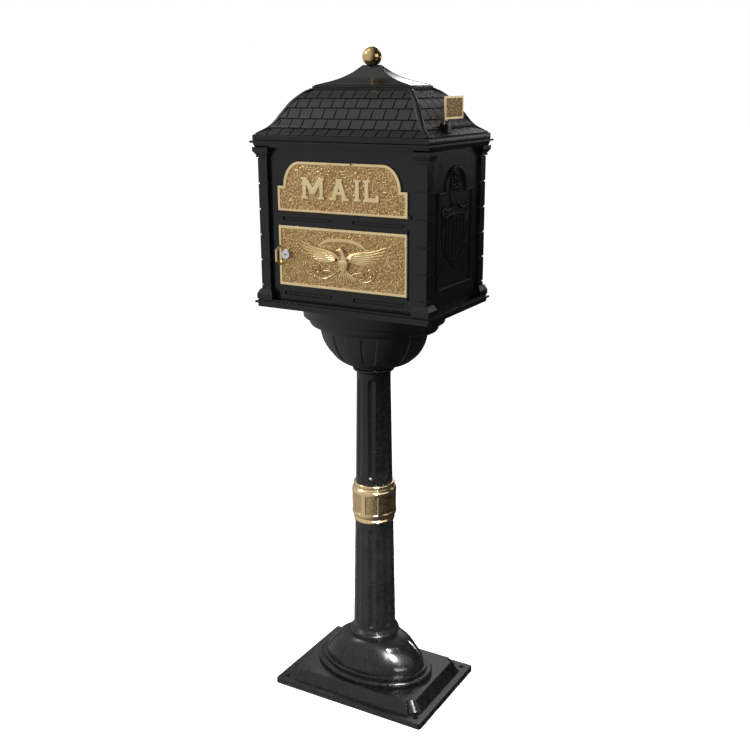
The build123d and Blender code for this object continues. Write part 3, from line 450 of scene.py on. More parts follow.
def cap_rib(sign_x, sign_y):
    """Slim rib on one hip of the cap."""
    rings = []
    for share, z in [tuple(p) for p in cap_line[1:-1]]:
        half = 2.6 * (0.45 + 0.55 * share)
        corner_x, corner_y = cap_high[0] * share, cap_high[1] * share
        outline = [(-half, -0.7), (-half * 0.9, 0.25), (-0.9, 0.55), (0.1, 0.1)]
        outline += [(0.55, -0.9), (0.25, -half * 0.9), (-0.7, -half), (-half, -half)]
        rings.append([(sign_x * (corner_x + p), sign_y * (corner_y + q), z + 0.35) for p, q in outline])
    points, faces = loft_rings(rings)
    if sign_x * sign_y < 0:
        return points, faces
    return points, [tuple(reversed(face)) for face in faces]


piece_from(
    "roof_cap_shell", *cap_shell(), black, "frame", "black_paint",
    replaced=("roof_cap",), sharp=math.radians(26),
)
cap_ribs = merged([cap_rib(*signs) for signs in corner_signs])
piece_from("roof_cap_ribs", *cap_ribs, black, "frame", "black_paint")


# ---------------------------------------------------------------- oval bell and bowl

# each panel's centre and half width, in degrees round the casting
PANEL_CENTRES = (
    (0, 12), (37, 10), (73, 8), (107, 8), (143, 10),
    (180, 12), (217, 10), (253, 8), (287, 8), (323, 10),
)
PANEL_RECESS = 1.9
PANEL_BEVEL_TURN = 1.0
PANEL_BEVEL_RISE = 0.05
DOME_WALL = 6.0


def oval_ring(half_x, half_y, z, turns):
    """Points of an oval at the given turns in degrees."""
    return [(half_x * math.cos(math.radians(a)), half_y * math.sin(math.radians(a)), z) for a in turns]


def oval_dome(name, node, foot, dome, panel_share, flip):
    """Oval dome of mouldings and a recessed-panel body, closed inside.

    foot is the moulding profile as (half x, half y, z); dome is (half x, half y, neck radius, base z,
    tip z, curve); panel_share is where the panels start and end round the dome's quarter turn.
    """
    half_x, half_y, neck, base_z, tip_z, curve = dome
    turns = []
    for centre, half in PANEL_CENTRES:
        for offset in (-half - PANEL_BEVEL_TURN, -half, half, half + PANEL_BEVEL_TURN):
            turns.append((centre + offset) % 360)
    turns += [a for a in np.arange(0, 360, 3.0) if min(abs((a - t + 180) % 360 - 180) for t in turns) > 0.8]
    turns = sorted(turns)
    start, end = panel_share
    steps = sorted(set([start - PANEL_BEVEL_RISE, start, end, end + PANEL_BEVEL_RISE]
                       + [s for s in np.linspace(0, 1, 22) if min(abs(s - start), abs(s - end)) > 0.03]))

    def recess(turn, share):
        """Depth of the panel at a place on the dome."""
        for centre, half in PANEL_CENTRES:
            off = abs((turn - centre + 180) % 360 - 180)
            if off <= half + PANEL_BEVEL_TURN + 1e-6:
                sideways = 1.0 if off <= half + 1e-6 else 0.0
                upward = 1.0 if start - 1e-6 <= share <= end + 1e-6 else 0.0
                return PANEL_RECESS * sideways * upward
        return 0.0

    rings = [oval_ring(hx, hy, z, turns) for hx, hy, z in foot]
    for share in steps:
        quarter = share * math.pi / 2
        spread_share = math.cos(quarter) ** (2 / curve)
        rise = math.sin(quarter) ** (2 / curve)
        z = base_z + (tip_z - base_z) * rise
        hx = neck + (half_x - neck) * spread_share
        hy = neck + (half_y - neck) * spread_share
        ring = []
        for a in turns:
            depth = recess(a, share)
            turn = math.radians(a)
            normal = np.array((math.cos(turn) / hx, math.sin(turn) / hy))
            normal /= np.linalg.norm(normal)
            lean = math.cos(quarter)
            drop = math.copysign(depth * math.sin(quarter), base_z - tip_z)
            inward = depth * lean * normal
            ring.append((hx * math.cos(turn) - inward[0], hy * math.sin(turn) - inward[1], z + drop))
        rings.append(ring)
    rings.append(oval_ring(neck - 4.5, neck - 4.5, tip_z, turns))
    toward_base = math.copysign(DOME_WALL, base_z - tip_z)
    for share in (0.9, 0.7, 0.5, 0.3, 0.1, 0.0):
        quarter = share * math.pi / 2
        spread_share = math.cos(quarter) ** (2 / curve)
        rise = math.sin(quarter) ** (2 / curve)
        hx = neck + (half_x - neck) * spread_share - DOME_WALL
        hy = neck + (half_y - neck) * spread_share - DOME_WALL
        rings.append(oval_ring(hx, hy, base_z + (tip_z - base_z) * rise + toward_base, turns))
    rings.append(oval_ring(half_x - 8, half_y - 8, foot[0][2], turns))
    points, faces = loft_rings(rings + [rings[0]], closed_ends=False)
    if flip:
        faces = [tuple(reversed(face)) for face in faces]
    piece_from(name, points, faces, black, "frame", "black_paint", replaced=(node,), sharp=math.radians(26))


def bead(half_x, half_y, low_z, high_z, bulge, count=9):
    """Rounded oval moulding between two heights."""
    middle, half = (low_z + high_z) / 2, (high_z - low_z) / 2
    profile = []
    for a in np.linspace(-math.pi / 2, math.pi / 2, count):
        out = (abs(math.cos(a)) ** 0.7 - 1) * bulge
        profile.append((half_x + out, half_y + out, middle + half * math.sin(a)))
    return profile


bell_foot = bead(138.0, 96.0, 36.0, 47.4, 5.2) + [(129.6, 87.6, 47.6)]
bell_foot += bead(126.6, 84.6, 48.0, 55.2, 2.6, 7) + [(120.6, 79.6, 55.0)]
oval_dome("bell_casting", "base_bell", bell_foot, (119.0, 78.0, 46.0, 54.0, 120.0, 1.7), (0.2, 0.61), False)

upper_moulding = [
    (156.0, 118.0, 877.0), (156.0, 118.0, 851.0), (155.2, 117.2, 848.0), (153.2, 115.2, 846.3),
    (150.4, 112.4, 845.8), (146.2, 108.6, 845.4), (143.6, 106.6, 844.0),
]
lower_moulding = [
    (143.2, 106.2, 838.0), (142.0, 105.0, 833.5), (138.8, 102.0, 829.6),
    (134.0, 97.6, 827.2), (128.0, 92.6, 826.2), (122.4, 88.0, 826.0),
]
bowl_foot = upper_moulding + lower_moulding
oval_dome("bowl_casting", "top_bowl", bowl_foot, (120.0, 86.0, 44.0, 828.0, 748.0, 1.9), (0.12, 0.60), True)


# ---------------------------------------------------------------- hammered surfaces

def dimples(u, v, pitch, seed):
    """Height from 0 to 1 of hammer marks on a jittered lattice."""
    spot = Vector((u / pitch, v / pitch, seed))
    distances, _ = noise.voronoi(spot, distance_metric="DISTANCE", exponent=2.0)
    peak = max(0.0, 1.0 - (distances[0] / 0.62) ** 2)
    ridge = min(1.0, (distances[1] - distances[0]) / 0.35)
    return 0.65 * peak + 0.35 * ridge


collar_low, collar_high = cad_box_mm("post_collar")
COLLAR_COLUMNS = 400
COLLAR_PANEL_TURN = 360.0 / 8
COLLAR_PANEL_HALF = 17.0
COLLAR_PANEL_BEVEL = 1.2
COLLAR_PANEL_RECESS = 1.5
COLLAR_HAMMER_PITCH = 2.3
COLLAR_PANEL_LOW, COLLAR_PANEL_HIGH = 420.5, 463.5
COLLAR_PROFILE = (
    (40.6, 398.0), (43.2, 398.0), (44.2, 398.8), (44.8, 400.6), (44.8, 402.6), (44.2, 404.4), (43.0, 405.6),
    (42.6, 407.0), (43.2, 408.4), (44.9, 409.6), (46.9, 411.4), (48.0, 413.6), (48.4, 416.0), (48.4, 419.0),
)


def collar_casting():
    """Brass sleeve with rolled lips and hammered panels set between plain bars."""
    top_half = [(r, collar_low[2] + collar_high[2] - z) for r, z in reversed(COLLAR_PROFILE)]
    middle = [(48.4, z) for z in np.arange(419.8, 464.4, 0.8)]
    profile = list(COLLAR_PROFILE) + middle + top_half
    columns = COLLAR_COLUMNS
    points, relief = [], []
    for radius, z in profile:
        for column in range(columns):
            turn = 360.0 * column / columns
            off = abs(turn % COLLAR_PANEL_TURN - COLLAR_PANEL_TURN / 2)
            side = min(1.0, max(0.0, (COLLAR_PANEL_HALF - off) / COLLAR_PANEL_BEVEL))
            rise = min(1.0, max(0.0, min(z - COLLAR_PANEL_LOW, COLLAR_PANEL_HIGH - z)))
            inside = side * rise
            # tone is painted shade: darker in the recessed panels and lowest in the hammer hollows, partly
            # patina
            r, tone = radius, 1.0
            if inside > 0:
                mark = dimples(math.radians(turn) * 48.0, z, COLLAR_HAMMER_PITCH, 3.0)
                r -= inside * (COLLAR_PANEL_RECESS - 0.75 * mark)
                tone = 1.0 - inside * (1.0 - (0.15 + 0.6 * mark))
            a = math.radians(turn)
            points.append((r * math.cos(a), r * math.sin(a), z))
            relief.append(tone)
    faces = grid_faces(len(profile), columns, wrap=True)
    last = (len(profile) - 1) * columns
    faces += [(last + c, last + (c + 1) % columns, (c + 1) % columns, c) for c in range(columns)]
    return points, faces, relief


collar_points, collar_faces, collar_relief = collar_casting()
piece_from(
    "collar_casting", collar_points, collar_faces, brass_collar, "frame", "polished_brass",
    relief=collar_relief, replaced=("post_collar",), sharp=math.radians(50),
)


def front_plane(depth):
    """Place (u, v, height) on the front, height out from a depth in front of the axis."""
    return lambda u, v, h: (u, -(depth + h), v)


def side_plane(sign, depth):
    """Place (u, v, height) on a side wall, seen upright from outside."""
    return lambda u, v, h: (sign * (depth + h), sign * u, v)


def hammered_sheet(half_of_v, low_v, high_v, step, plane, pitch, lift, centre_u=0.0, seed=1.0):
    """Hammered skin between two heights whose half width follows half_of_v, closed underneath."""
    rows = max(2, int(round((high_v - low_v) / step)) + 1)
    widest = max(half_of_v(low_v), half_of_v(high_v))
    columns = int(round(2 * widest / step)) + 1
    points, relief = [], []
    for row in range(rows):
        v = low_v + (high_v - low_v) * row / (rows - 1)
        half = half_of_v(v)
        for column in range(columns):
            u = centre_u + half * (2 * column / (columns - 1) - 1)
            mark = dimples(u, v, pitch, seed)
            points.append(plane(u, v, 0.15 + lift * mark))
            # painted shade: darker at the bottom of each hammer mark and under the edge, partly patina
            relief.append(0.05 + 0.75 * mark)
    count = rows * columns
    faces = grid_faces(rows, columns)
    rim = list(range(columns)) + [r * columns + columns - 1 for r in range(1, rows)]
    rim += [(rows - 1) * columns + c for c in range(columns - 2, -1, -1)]
    rim += [r * columns for r in range(rows - 2, 0, -1)]
    for index in rim:
        row, column = divmod(index, columns)
        v = low_v + (high_v - low_v) * row / (rows - 1)
        u = centre_u + half_of_v(v) * (2 * column / (columns - 1) - 1)
        points.append(plane(u, v, -0.2))
        relief.append(0.1)
    total = len(rim)
    for i in range(total):
        j = (i + 1) % total
        faces.append((rim[j], rim[i], count + i, count + j))
    faces.append(tuple(count + i for i in reversed(range(total))))
    return points, faces, relief


def raised_stroke(knots, widths, heights, plane, count=16, flat=0.0, seat=-0.35):
    """Rounded ridge along a smooth line; widths and heights change evenly along it."""
    line = smooth_line(knots, count)
    rings, relief = [], []
    for i, centre in enumerate(line):
        before, after = line[max(0, i - 1)], line[min(count - 1, i + 1)]
        along = after - before
        along /= np.linalg.norm(along)
        across = np.array((-along[1], along[0]))
        share = i / (count - 1)
        half = float(np.interp(share, np.linspace(0, 1, len(widths)), widths)) / 2
        height = float(np.interp(share, np.linspace(0, 1, len(heights)), heights))
        ring = []
        for s in (-1.0, -0.82, -0.45, 0.0, 0.45, 0.82, 1.0):
            dome = flat + (1 - flat) * math.sqrt(max(0.0, 1 - s * s)) if abs(s) < 1 else 0.0
            u, v = centre + across * s * half
            ring.append(plane(u, v, height * dome))
            # painted shade: the flanks and foot of the ridge get a darker relief level, partly patina
            relief.append(0.22 + 0.78 * dome ** 1.4)
        for s in (1.0, -1.0):
            u, v = centre + across * s * half
            ring.append(plane(u, v, seat))
            relief.append(0.1)
        rings.append(ring)
    points, faces = loft_rings(rings)
    return points, [tuple(reversed(face)) for face in faces], relief


def raised_plate(outline, height, plane, bevel=0.5, seat=-0.3):
    """Flat-topped shape with a bevelled edge from a closed outline."""
    outline = [np.array(p, float) for p in outline]
    area = sum(a[0] * b[1] - b[0] * a[1] for a, b in zip(outline, outline[1:] + outline[:1]))
    inward = 1.0 if area > 0 else -1.0

    def inset(amount):
        shifted = []
        for i, p in enumerate(outline):
            before, after = outline[i - 1], outline[(i + 1) % len(outline)]
            d1, d2 = p - before, after - p
            n1 = inward * np.array((-d1[1], d1[0])) / np.linalg.norm(d1)
            n2 = inward * np.array((-d2[1], d2[0])) / np.linalg.norm(d2)
            bisector = n1 + n2
            bisector /= max(0.35, np.dot(bisector, bisector) / 2 + 1e-9)
            shifted.append(p + bisector * amount)
        return shifted

    levels = ((0.0, seat), (0.0, height - bevel), (bevel * 0.35, height - bevel * 0.3), (bevel, height))
    points, relief = [], []
    for amount, level in levels:
        for u, v in inset(amount):
            points.append(plane(u, v, level))
            # painted shade: the lower sides of the plate get a dark relief level
            relief.append(0.2 if level < height * 0.5 else 1.0)
    count = len(outline)
    faces = grid_faces(len(levels), count, wrap=True)
    faces.append(tuple(reversed(range(count))))
    faces.append(tuple(range((len(levels) - 1) * count, len(levels) * count)))
    if inward > 0:
        return points, faces, relief
    return points, [tuple(reversed(f)) for f in faces], relief


def relief_piece(name, parts, material, body, slot, sharp=math.radians(40)):
    """Join relief parts into one piece."""
    points, faces = merged([(p, f) for p, f, _ in parts])
    relief = [r for _, _, rs in parts for r in rs]
    return piece_from(name, points, faces, material, body, slot, relief=relief, sharp=sharp)


# ---------------------------------------------------------------- brass doors

DOOR_BORDER = 5.0
HAMMER_PITCH = 3.5
HAMMER_LIFT = 1.45
FIELD_STEP = 0.8
MAIL_BOTTOM, MAIL_SHOULDER, MAIL_TOP = 1073.3, 1122.4, 1170.6
MAIL_HALF, MAIL_ARC_X, MAIL_FLAT = 145.2, 131.2, 92.5
LOCKER_BOTTOM, LOCKER_TOP = 925.6, 1044.7
FIELD_DEPTH = 124.5 - 1.7
front_field = front_plane(FIELD_DEPTH)


def mail_half(v):
    """Half width of the rounded upper part of the mail door's field."""
    shoulder, top = MAIL_SHOULDER - DOOR_BORDER, MAIL_TOP - DOOR_BORDER
    share = min(1.0, max(0.0, (v - shoulder) / (top - shoulder)))
    corner = (MAIL_ARC_X - DOOR_BORDER) - MAIL_FLAT
    return MAIL_FLAT + corner * math.sqrt(max(0.0, 1 - share ** 2))


def plate_half(v):
    """Half width of a square-cornered field."""
    return MAIL_HALF - DOOR_BORDER


FIELD_SHARP = math.radians(60)
field_look = (FIELD_STEP, front_field, HAMMER_PITCH, HAMMER_LIFT)
shoulder = MAIL_SHOULDER - DOOR_BORDER
lower_field = hammered_sheet(plate_half, MAIL_BOTTOM + DOOR_BORDER, shoulder, *field_look)
upper_field = hammered_sheet(mail_half, shoulder, MAIL_TOP - DOOR_BORDER, *field_look)
relief_piece("mail_door_field", [lower_field, upper_field], brass, "mail_door", "brass", sharp=FIELD_SHARP)
locker_field = hammered_sheet(
    plate_half, LOCKER_BOTTOM + DOOR_BORDER, LOCKER_TOP - DOOR_BORDER, *field_look, seed=7.0
)
relief_piece("locker_door_field", [locker_field], brass, "locker_door", "brass", sharp=FIELD_SHARP)

low, high = 1100.0, 1141.5
LETTER_HEIGHT, LETTER_BEVEL = 3.0, 0.9
SERIF = 5.0


def box_outline(x0, z0, x1, z1):
    """Outline of an upright rectangle."""
    return [(x0, z0), (x1, z0), (x1, z1), (x0, z1)]


def letter_plate(outline, sunk=0.0):
    """One letter stroke; sunk keeps crossing strokes from sharing a face."""
    return raised_plate(outline, LETTER_HEIGHT - sunk, front_field, bevel=LETTER_BEVEL)


m_letter = [(-86, low), (-77, low), (-77, high - 15), (-66.8, low + 9), (-57.2, low + 9), (-47, high - 15)]
m_letter += [(-47, low), (-38, low), (-38, high), (-48.5, high), (-62, low + 23), (-75.5, high), (-86, high)]
i_letter = box_outline(33.5, low, 42.5, high)
l_letter = [(54, low), (83, low), (83, low + 8.5), (63, low + 8.5), (63, high), (54, high)]
a_strokes = [
    [(-21.5, low), (-11.5, low), (0.2, high - 12), (0.2, high), (-6.8, high)],
    [(16.5, low), (6.5, low), (-5.2, high - 12), (-5.2, high), (1.8, high)],
    box_outline(-12, low + 10.5, 7, low + 17),
]
feet = ((-89.5, -73.5), (-50.5, -35.5), (-25, -8), (3, 20), (29.5, 46.4), (50, 67))
heads = ((-89.5, -80), (-44, -35.5), (-10, 5), (29.5, 46.4), (50, 67))
serifs = [box_outline(x0, low, x1, low + SERIF) for x0, x1 in feet]
serifs += [box_outline(x0, high - SERIF, x1, high) for x0, x1 in heads]
serifs.append(box_outline(79.5, low, 85.5, low + 14))
letters = [letter_plate(outline) for outline in (m_letter, i_letter, l_letter)]
letters += [letter_plate(outline, 0.01 * i) for i, outline in enumerate(a_strokes + serifs)]
relief_piece("mail_door_letters", letters, brass_plain, "mail_door", "brass", sharp=math.radians(30))

# finger lip ends on the mail door
lip = []
for hand in (-1, 1):
    hook = [(hand * 22, 1168.6), (hand * 23.5, 1166.8), (hand * 22.5, 1165.2)]
    lip.append(raised_stroke(hook, (2.2, 1.6), (2.6, 1.4), front_plane(124.4), count=6))
relief_piece("mail_door_lip_ends", lip, brass_plain, "mail_door", "brass")

# ---------------------------------------------------------------- spread-wing bird on the locker door

BIRD_X, BIRD_Z = 4.0, 984.0
bird = []


def at(x, z):
    """Point on the ornament from its own centre."""
    return BIRD_X + x, BIRD_Z + z


def stroke(knots, widths, heights, count, **shape):
    """Add a rounded stroke to the bird, through knots measured from its centre."""
    path = [at(*knot) for knot in knots]
    bird.append(raised_stroke(path, widths, heights, front_field, count=count, **shape))


def mirrored(hand, knots):
    """Knots turned over to the other side of the bird when hand is -1."""
    return [(hand * x, z) for x, z in knots]


WING_TIPS = ((97, 32), (94, 25), (88.5, 17.5), (82, 10.5), (74.5, 4), (66, -1), (56.5, -4.5), (46.5, -6.5))
for hand in (-1, 1):
    for feather, tip in enumerate(WING_TIPS):
        share = feather / (len(WING_TIPS) - 1)
        root = np.array((17 + 5 * share, 9 - 11 * share))
        tip = np.array(tip, float)
        middle = (root + tip) / 2 + np.array((0.0, -2.2 + 3.4 * share))
        heights = (3.8 - 0.15 * feather, 3.4, 2.7, 1.3)
        stroke(mirrored(hand, (root, middle, tip)), (5.6, 6.0, 5.4, 2.4), heights, 14)
    for size, first, last, lift in ((6, (60, 21), (34, -5), 4.8), (5, (38, 16), (24, -4), 5.8)):
        for feather in range(size):
            share = feather / (size - 1)
            root = np.array((13 + 4 * share, 9 - 9 * share))
            tip = np.array(first) * (1 - share) + np.array(last) * share
            tip += np.array((0, -2.5 * math.sin(math.pi * share)))
            middle = (root + tip) / 2 + np.array((0, 0.8))
            heights = (lift, lift, lift * 0.8, lift * 0.45)
            stroke(mirrored(hand, (root, middle, tip)), (5.0, 5.4, 4.6, 2.4), heights, 10)
    # leading edge of the wing
    edge = mirrored(hand, ((7, 3), (17, 11), (36, 17.5), (66, 22), (97, 33)))
    stroke(edge, (8.5, 7.5, 5.6, 4.4, 1.8), (6.0, 5.2, 4.3, 3.4, 1.2), 26)

# tail fan
for feather in range(7):
    share = feather / 6 - 0.5
    root = (5 + 7 * share, -18)
    tip = (9 + 40 * share, -41 + 9 * abs(share))
    middle = ((root[0] + tip[0]) / 2 - 1, (root[1] + tip[1]) / 2)
    stroke((root, middle, tip), (4.4, 5.6, 6.2, 3.8), (4.2, 3.9, 3.1, 1.7), 10)

# legs, body, neck and head
for hand in (-1, 1):
    stroke(mirrored(hand, ((5, -14), (11, -21), (17, -23))), (7.0, 5.0, 2.6), (3.8, 3.0, 1.6), 9)
stroke(((2, 14), (3, 4), (4, -8), (5, -20)), (12, 23, 23, 13), (5.4, 6.4, 5.8, 4.2), 18)
stroke(((3, 8), (1, 15), (-3, 20), (-8, 20.5)), (16, 13, 11.5, 9.0), (6.4, 6.8, 6.6, 5.8), 14)
stroke(((-9, 20.6), (-14, 19.6), (-16.5, 15.6)), (6.0, 4.2, 1.4), (5.4, 4.4, 2.2), 10)

# plain shield with upright bars on the breast
shield = [(-8.5, 0.5), (-4, 1.8), (2, 0.6), (8, 1.8), (12.5, 0.5)]
shield += [(12.2, -9), (9, -17), (2, -23), (-5, -17), (-8.2, -9)]
bird.append(raised_plate([at(x, z) for x, z in shield], 6.6, front_field, bevel=1.0))
for bar_x in (-5.6, -1.8, 2.0, 5.8, 9.6):
    reach = 20.5 - abs(bar_x - 2.0) * 0.95
    stroke(((bar_x, -4.0), (bar_x, -reach)), (2.1, 1.8), (7.7, 7.5), 4, seat=5.6)

# ribbon above, scrolled sprays below
ribbon = ((-49, 30), (-36, 37), (-12, 40), (16, 39.5), (38, 34), (50, 26))
stroke(ribbon, (5, 8, 8.4, 8.4, 8, 4.4), (1.8, 3.0, 3.2, 3.2, 3.0, 1.8), 34, flat=0.55)
ribbon_ends = (((-49, 31), (-53, 27), (-47, 24.5), (-38, 27)), ((50, 27), (54, 22), (47, 20), (39, 23)))
for ribbon_end in ribbon_ends:
    stroke(ribbon_end, (4.6, 3.8, 3.0, 1.6), (1.6, 1.5, 1.3, 0.8), 14, flat=0.4)


def scroll(hand, start, turns, size, width):
    """Add a spiral tendril that curls up at its end."""
    knots = []
    for i in range(15):
        share = i / 14
        angle = math.radians(90 + 360 * turns * share)
        radius = size * (1 - 0.72 * share)
        knots.append((start[0] + radius * math.cos(angle), start[1] + radius * math.sin(angle) - size))
    stroke(mirrored(hand, knots), (width, width * 0.85, width * 0.6), (3.2, 2.9, 2.2), 40)


# place and tilt in degrees of the small leaves along each spray
LEAVES = ((27, -33, -100), (36, -37, -60), (50, -38.5, -95), (62, -34, -30), (33, -24, 70))

for hand in (-1, 1):
    spray = ((14, -23), (26, -31), (44, -38), (60, -35), (70, -27), (72, -18), (66, -13))
    spray_heights = (3.6, 3.4, 3.2, 3.1, 2.9, 2.6, 1.8)
    stroke(mirrored(hand, spray), (4.2, 4.0, 3.8, 3.6, 3.4, 3.0, 2.0), spray_heights, 34)
    scroll(hand, (60.5, -13.0), 1.15, 8.0, 3.2)
    scroll(hand, (42.0, -22.0), -0.95, 6.6, 3.0)
    stroke(mirrored(hand, ((18, -27), (30, -22), (42, -22))), (3.2, 3.0, 2.6), (3.2, 2.9, 2.5), 12)
    for leaf_x, leaf_z, tilt in LEAVES:
        angle = math.radians(tilt)
        tip = (leaf_x + 8 * math.cos(angle), leaf_z + 8 * math.sin(angle))
        middle = (leaf_x + 4.4 * math.cos(angle + 0.25), leaf_z + 4.4 * math.sin(angle + 0.25))
        stroke(mirrored(hand, ((leaf_x, leaf_z), middle, tip)), (1.6, 4.2, 0.9), (1.6, 2.0, 0.8), 8)
relief_piece("locker_door_bird", bird, brass, "locker_door", "brass")


# ---------------------------------------------------------------- side wall ornament

WALL_X = 183.0
FRAME_HALF, FRAME_LOW, FRAME_SHOULDER = 75.0, 933.0, 1116.0
ARCH_RADIUS, ARCH_CENTRE = 43.0, 1119.0
INNER_ARCH_RADIUS, INNER_ARCH_CENTRE = 35.0, 1120.0
ROSETTE_RADIUS, ROSETTE_CENTRE = 19.0, 1131.0


def arc(radius, centre, start, end, count):
    """Points on an arc of one radius round the middle of the wall."""
    return [(radius * math.cos(a), centre + radius * math.sin(a)) for a in np.linspace(start, end, count)]


def ornament(sign):
    """Beaded arch frame, ribbed shield and rosette on one side wall."""
    wall = side_plane(sign, WALL_X)
    frame_top = side_plane(sign, WALL_X + 2.4)
    shield_top = side_plane(sign, WALL_X + 1.9)
    parts = []
    runs = (
        [(-FRAME_HALF, FRAME_LOW), (FRAME_HALF, FRAME_LOW)],
        [(-FRAME_HALF, FRAME_LOW), (-FRAME_HALF, FRAME_SHOULDER)],
        [(FRAME_HALF, FRAME_LOW), (FRAME_HALF, FRAME_SHOULDER)],
        [(-FRAME_HALF, FRAME_SHOULDER), (-ARCH_RADIUS, FRAME_SHOULDER)],
        [(ARCH_RADIUS, FRAME_SHOULDER), (FRAME_HALF, FRAME_SHOULDER)],
    )
    for run in runs:
        parts.append(raised_stroke(run, (4.6, 4.6), (2.0, 2.0), frame_top, count=3, seat=-2.6))
    arch = arc(ARCH_RADIUS, ARCH_CENTRE, 0.0, math.pi, 15)
    parts.append(raised_stroke(arch, (4.6, 4.6), (2.2, 2.2), frame_top, count=48, seat=-2.6))
    inner_arch = arc(INNER_ARCH_RADIUS, INNER_ARCH_CENTRE, -0.25, math.pi + 0.25, 15)
    parts.append(raised_stroke(inner_arch, (2.4, 2.4), (1.6, 1.6), wall, count=44))
    half_shield = (
        [(0, 981), (22, 993), (47, 1010)],
        [(47, 1010), (51, 1030), (48, 1055), (55, 1074), (53, 1088)],
        [(53, 1088), (40, 1083), (24, 1084), (10, 1092), (0, 1098)],
    )
    for hand in (-1, 1):
        for side in half_shield:
            knots = [(hand * u, v) for u, v in side]
            parts.append(raised_stroke(knots, (5.6, 6.6, 5.6), (3.4, 4.2, 3.4), wall, count=18))
    band = [(-48, 1069), (0, 1074), (48, 1069)]
    parts.append(raised_stroke(band, (4.0, 5.0, 4.0), (3.2, 3.8, 3.2), wall, count=14))
    for rib in range(6):
        u = -40 + 16 * rib
        reach = 990 + abs(u) * 0.55
        line = [(u, 1066), (u, (1066 + reach) / 2), (u, reach)]
        parts.append(raised_stroke(line, (5.0, 5.6, 4.2), (2.8, 3.2, 2.4), shield_top, count=8))
    centre = ROSETTE_CENTRE
    for petal in range(8):
        a = math.radians(45 * petal + 22.5)
        knots = [(r * math.cos(a), centre + r * math.sin(a)) for r in (4.5, 10.5, 15.5)]
        parts.append(raised_stroke(knots, (2.6, 7.4, 1.8), (1.4, 2.2, 0.8), shield_top, count=9))
    ring = arc(ROSETTE_RADIUS, centre, 0, 2 * math.pi, 21)
    parts.append(raised_stroke(ring, (3.0, 3.0), (1.8, 1.8), shield_top, count=56))
    boss = [(-3.2, centre), (0, centre), (3.2, centre)]
    parts.append(raised_stroke(boss, (3.6, 7.4, 3.6), (1.6, 2.8, 1.6), shield_top, count=7))
    return parts


relief_piece("side_ornament_right", ornament(1), black, "frame", "black_paint")
relief_piece("side_ornament_left", ornament(-1), black, "frame", "black_paint")

# ---------------------------------------------------------------- flag field

flag_high = cad_box_mm("flag")[1]
FLAG_FRONT_Y, FLAG_LENGTH, FLAG_FOOT_Z, FLAG_HEIGHT, FLAG_EDGE = -40.5, 78.0, 1250.5, 42.0, 4.0
FLAG_HAMMER_PITCH, FLAG_HAMMER_LIFT = 3.6, 0.7


def flag_half(v):
    """Half length of the flag's field."""
    return FLAG_LENGTH / 2 - FLAG_EDGE


flag_field = hammered_sheet(
    flag_half, FLAG_FOOT_Z + FLAG_EDGE, FLAG_FOOT_Z + FLAG_HEIGHT - FLAG_EDGE, FIELD_STEP,
    side_plane(1, flag_high[0] - 0.8), FLAG_HAMMER_PITCH, FLAG_HAMMER_LIFT,
    centre_u=FLAG_FRONT_Y + FLAG_LENGTH / 2, seed=4.0,
)
relief_piece("flag_field", [flag_field], brass, "flag", "brass", sharp=FIELD_SHARP)


# ---------------------------------------------------------------- stage, light and camera

FLOOR_HALF = 30.0
floor_mesh = bpy.data.meshes.new("floor")
floor_corners = [(x * FLOOR_HALF, y * FLOOR_HALF, 0) for x, y in ((-1, -1), (1, -1), (1, 1), (-1, 1))]
floor_mesh.from_pydata(floor_corners, [], [(0, 1, 2, 3)])
floor = bpy.data.objects.new("floor", floor_mesh)
scene.collection.objects.link(floor)
paper = bpy.data.materials.new("pale_floor")
paper.use_nodes = True
paper_shader = paper.node_tree.nodes["Principled BSDF"]
paper_shader.inputs["Base Color"].default_value = (0.5, 0.5, 0.5, 1)
paper_shader.inputs["Roughness"].default_value = 0.9
paper_shader.inputs["Specular IOR Level"].default_value = 0.1
paper_shader.inputs["Emission Color"].default_value = (1, 1, 1, 1)
paper_shader.inputs["Emission Strength"].default_value = 0.92
floor_mesh.materials.append(paper)
floor.visible_glossy = False

world = bpy.data.worlds.new("studio")
scene.world = world
world.use_nodes = True
sky = world.node_tree
sky.nodes.clear()
white_wall = sky.nodes.new("ShaderNodeBackground")
white_wall.inputs["Color"].default_value = (1, 1, 1, 1)
white_wall.inputs["Strength"].default_value = 1.0
room = sky.nodes.new("ShaderNodeBackground")
direction = sky.nodes.new("ShaderNodeTexCoord").outputs["Generated"]
toward = sky.nodes.new("ShaderNodeVectorMath")
toward.operation = "DOT_PRODUCT"
BRIGHT_AZIMUTH, BRIGHT_ELEVATION = math.radians(-52), math.radians(14)
toward.inputs[1].default_value = (
    math.sin(BRIGHT_AZIMUTH) * math.cos(BRIGHT_ELEVATION),
    -math.cos(BRIGHT_AZIMUTH) * math.cos(BRIGHT_ELEVATION),
    math.sin(BRIGHT_ELEVATION),
)
sky.links.new(direction, toward.inputs[0])
level = sky.nodes.new("ShaderNodeMapRange")
level.interpolation_type = "SMOOTHSTEP"
level.inputs["From Min"].default_value = -0.35
level.inputs["From Max"].default_value = 0.95
level.inputs["To Min"].default_value = 0.035
level.inputs["To Max"].default_value = 0.85
sky.links.new(toward.outputs["Value"], level.inputs["Value"])
sky.links.new(level.outputs["Result"], room.inputs["Strength"])
seen = sky.nodes.new("ShaderNodeLightPath")
choice = sky.nodes.new("ShaderNodeMixShader")
sky.links.new(seen.outputs["Is Camera Ray"], choice.inputs[0])
sky.links.new(room.outputs["Background"], choice.inputs[1])
sky.links.new(white_wall.outputs["Background"], choice.inputs[2])
sky_out = sky.nodes.new("ShaderNodeOutputWorld")
sky.links.new(choice.outputs["Shader"], sky_out.inputs["Surface"])


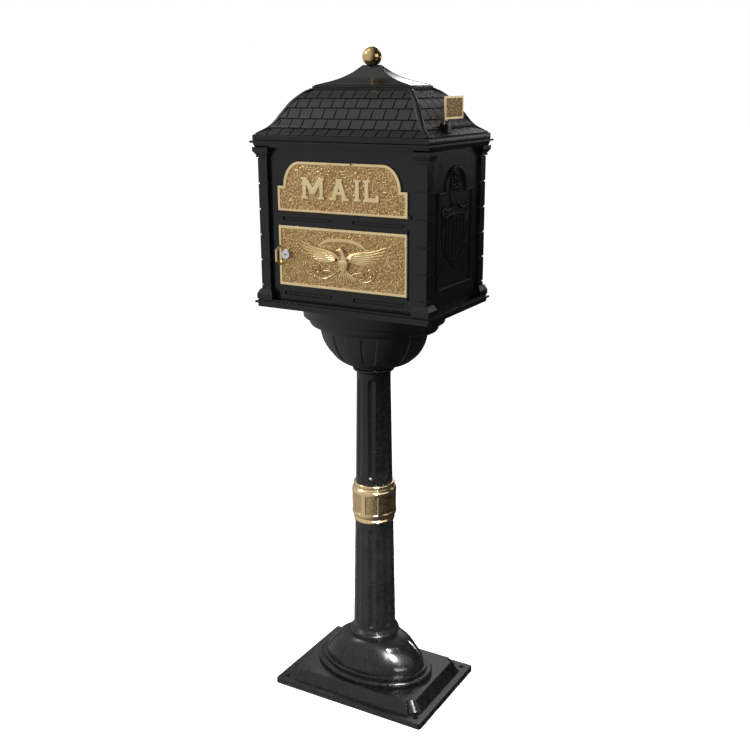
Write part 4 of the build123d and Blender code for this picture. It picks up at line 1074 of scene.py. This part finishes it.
def soft_box(name, azimuth, elevation, distance, target_z, width, height, power, spread_degrees=180):
    """Rectangular studio lamp placed by its direction from a point on the post axis."""
    a, e = math.radians(azimuth), math.radians(elevation)
    target = Vector((0, 0, target_z))
    place = target + distance * Vector((math.sin(a) * math.cos(e), -math.cos(a) * math.cos(e), math.sin(e)))
    lamp = bpy.data.lights.new(name, "AREA")
    lamp.shape = "RECTANGLE"
    lamp.size = width
    lamp.size_y = height
    lamp.energy = power
    lamp.spread = math.radians(spread_degrees)
    holder = bpy.data.objects.new(name, lamp)
    scene.collection.objects.link(holder)
    holder.location = place
    holder.rotation_euler = (target - place).to_track_quat("-Z", "Y").to_euler()


# name, azimuth, elevation, distance, height aimed at, width, height, watts, spread in degrees
soft_box("camera_side", 44, 34, 2.6, 0.2, 0.36, 0.36, 4.2, 18)
soft_box("front_left", -66, 36, 2.6, 1.05, 0.6, 0.6, 22)
soft_box("overhead", -60, 62, 2.6, 1.0, 1.4, 1.2, 3)
soft_box("back_left", -152, 14, 1.7, 1.3, 0.8, 0.5, 5)
soft_box("back_right", 166, 34, 2.4, 1.25, 1.2, 0.8, 2)
soft_box("right_wall", 86, 14, 3.2, 1.0, 2.2, 1.6, 12)
soft_box("rear_wall", 196, 12, 3.4, 1.0, 2.2, 1.6, 12)
soft_box("flag_card", 150, 0, 1.6, 1.27, 0.6, 0.24, 0.5)

camera_data = bpy.data.cameras.new("camera")
camera_data.sensor_width = 36.0
camera_data.lens = 49.12
camera_data.clip_end = 100.0
camera = bpy.data.objects.new("camera", camera_data)
scene.collection.objects.link(camera)
scene.camera = camera
CAMERA_AZIMUTH, CAMERA_PITCH, CAMERA_ROLL = 0.522262, 0.278455, -0.004541
camera.location = (1.0400, -1.8015, 1.3173)
aim = Euler((math.pi / 2 - CAMERA_PITCH, 0, CAMERA_AZIMUTH), "XYZ").to_quaternion()
camera.rotation_mode = "QUATERNION"
camera.rotation_quaternion = aim @ Euler((0, 0, CAMERA_ROLL), "XYZ").to_quaternion()

scene.view_settings.view_transform = "Standard"
scene.view_settings.look = "None"
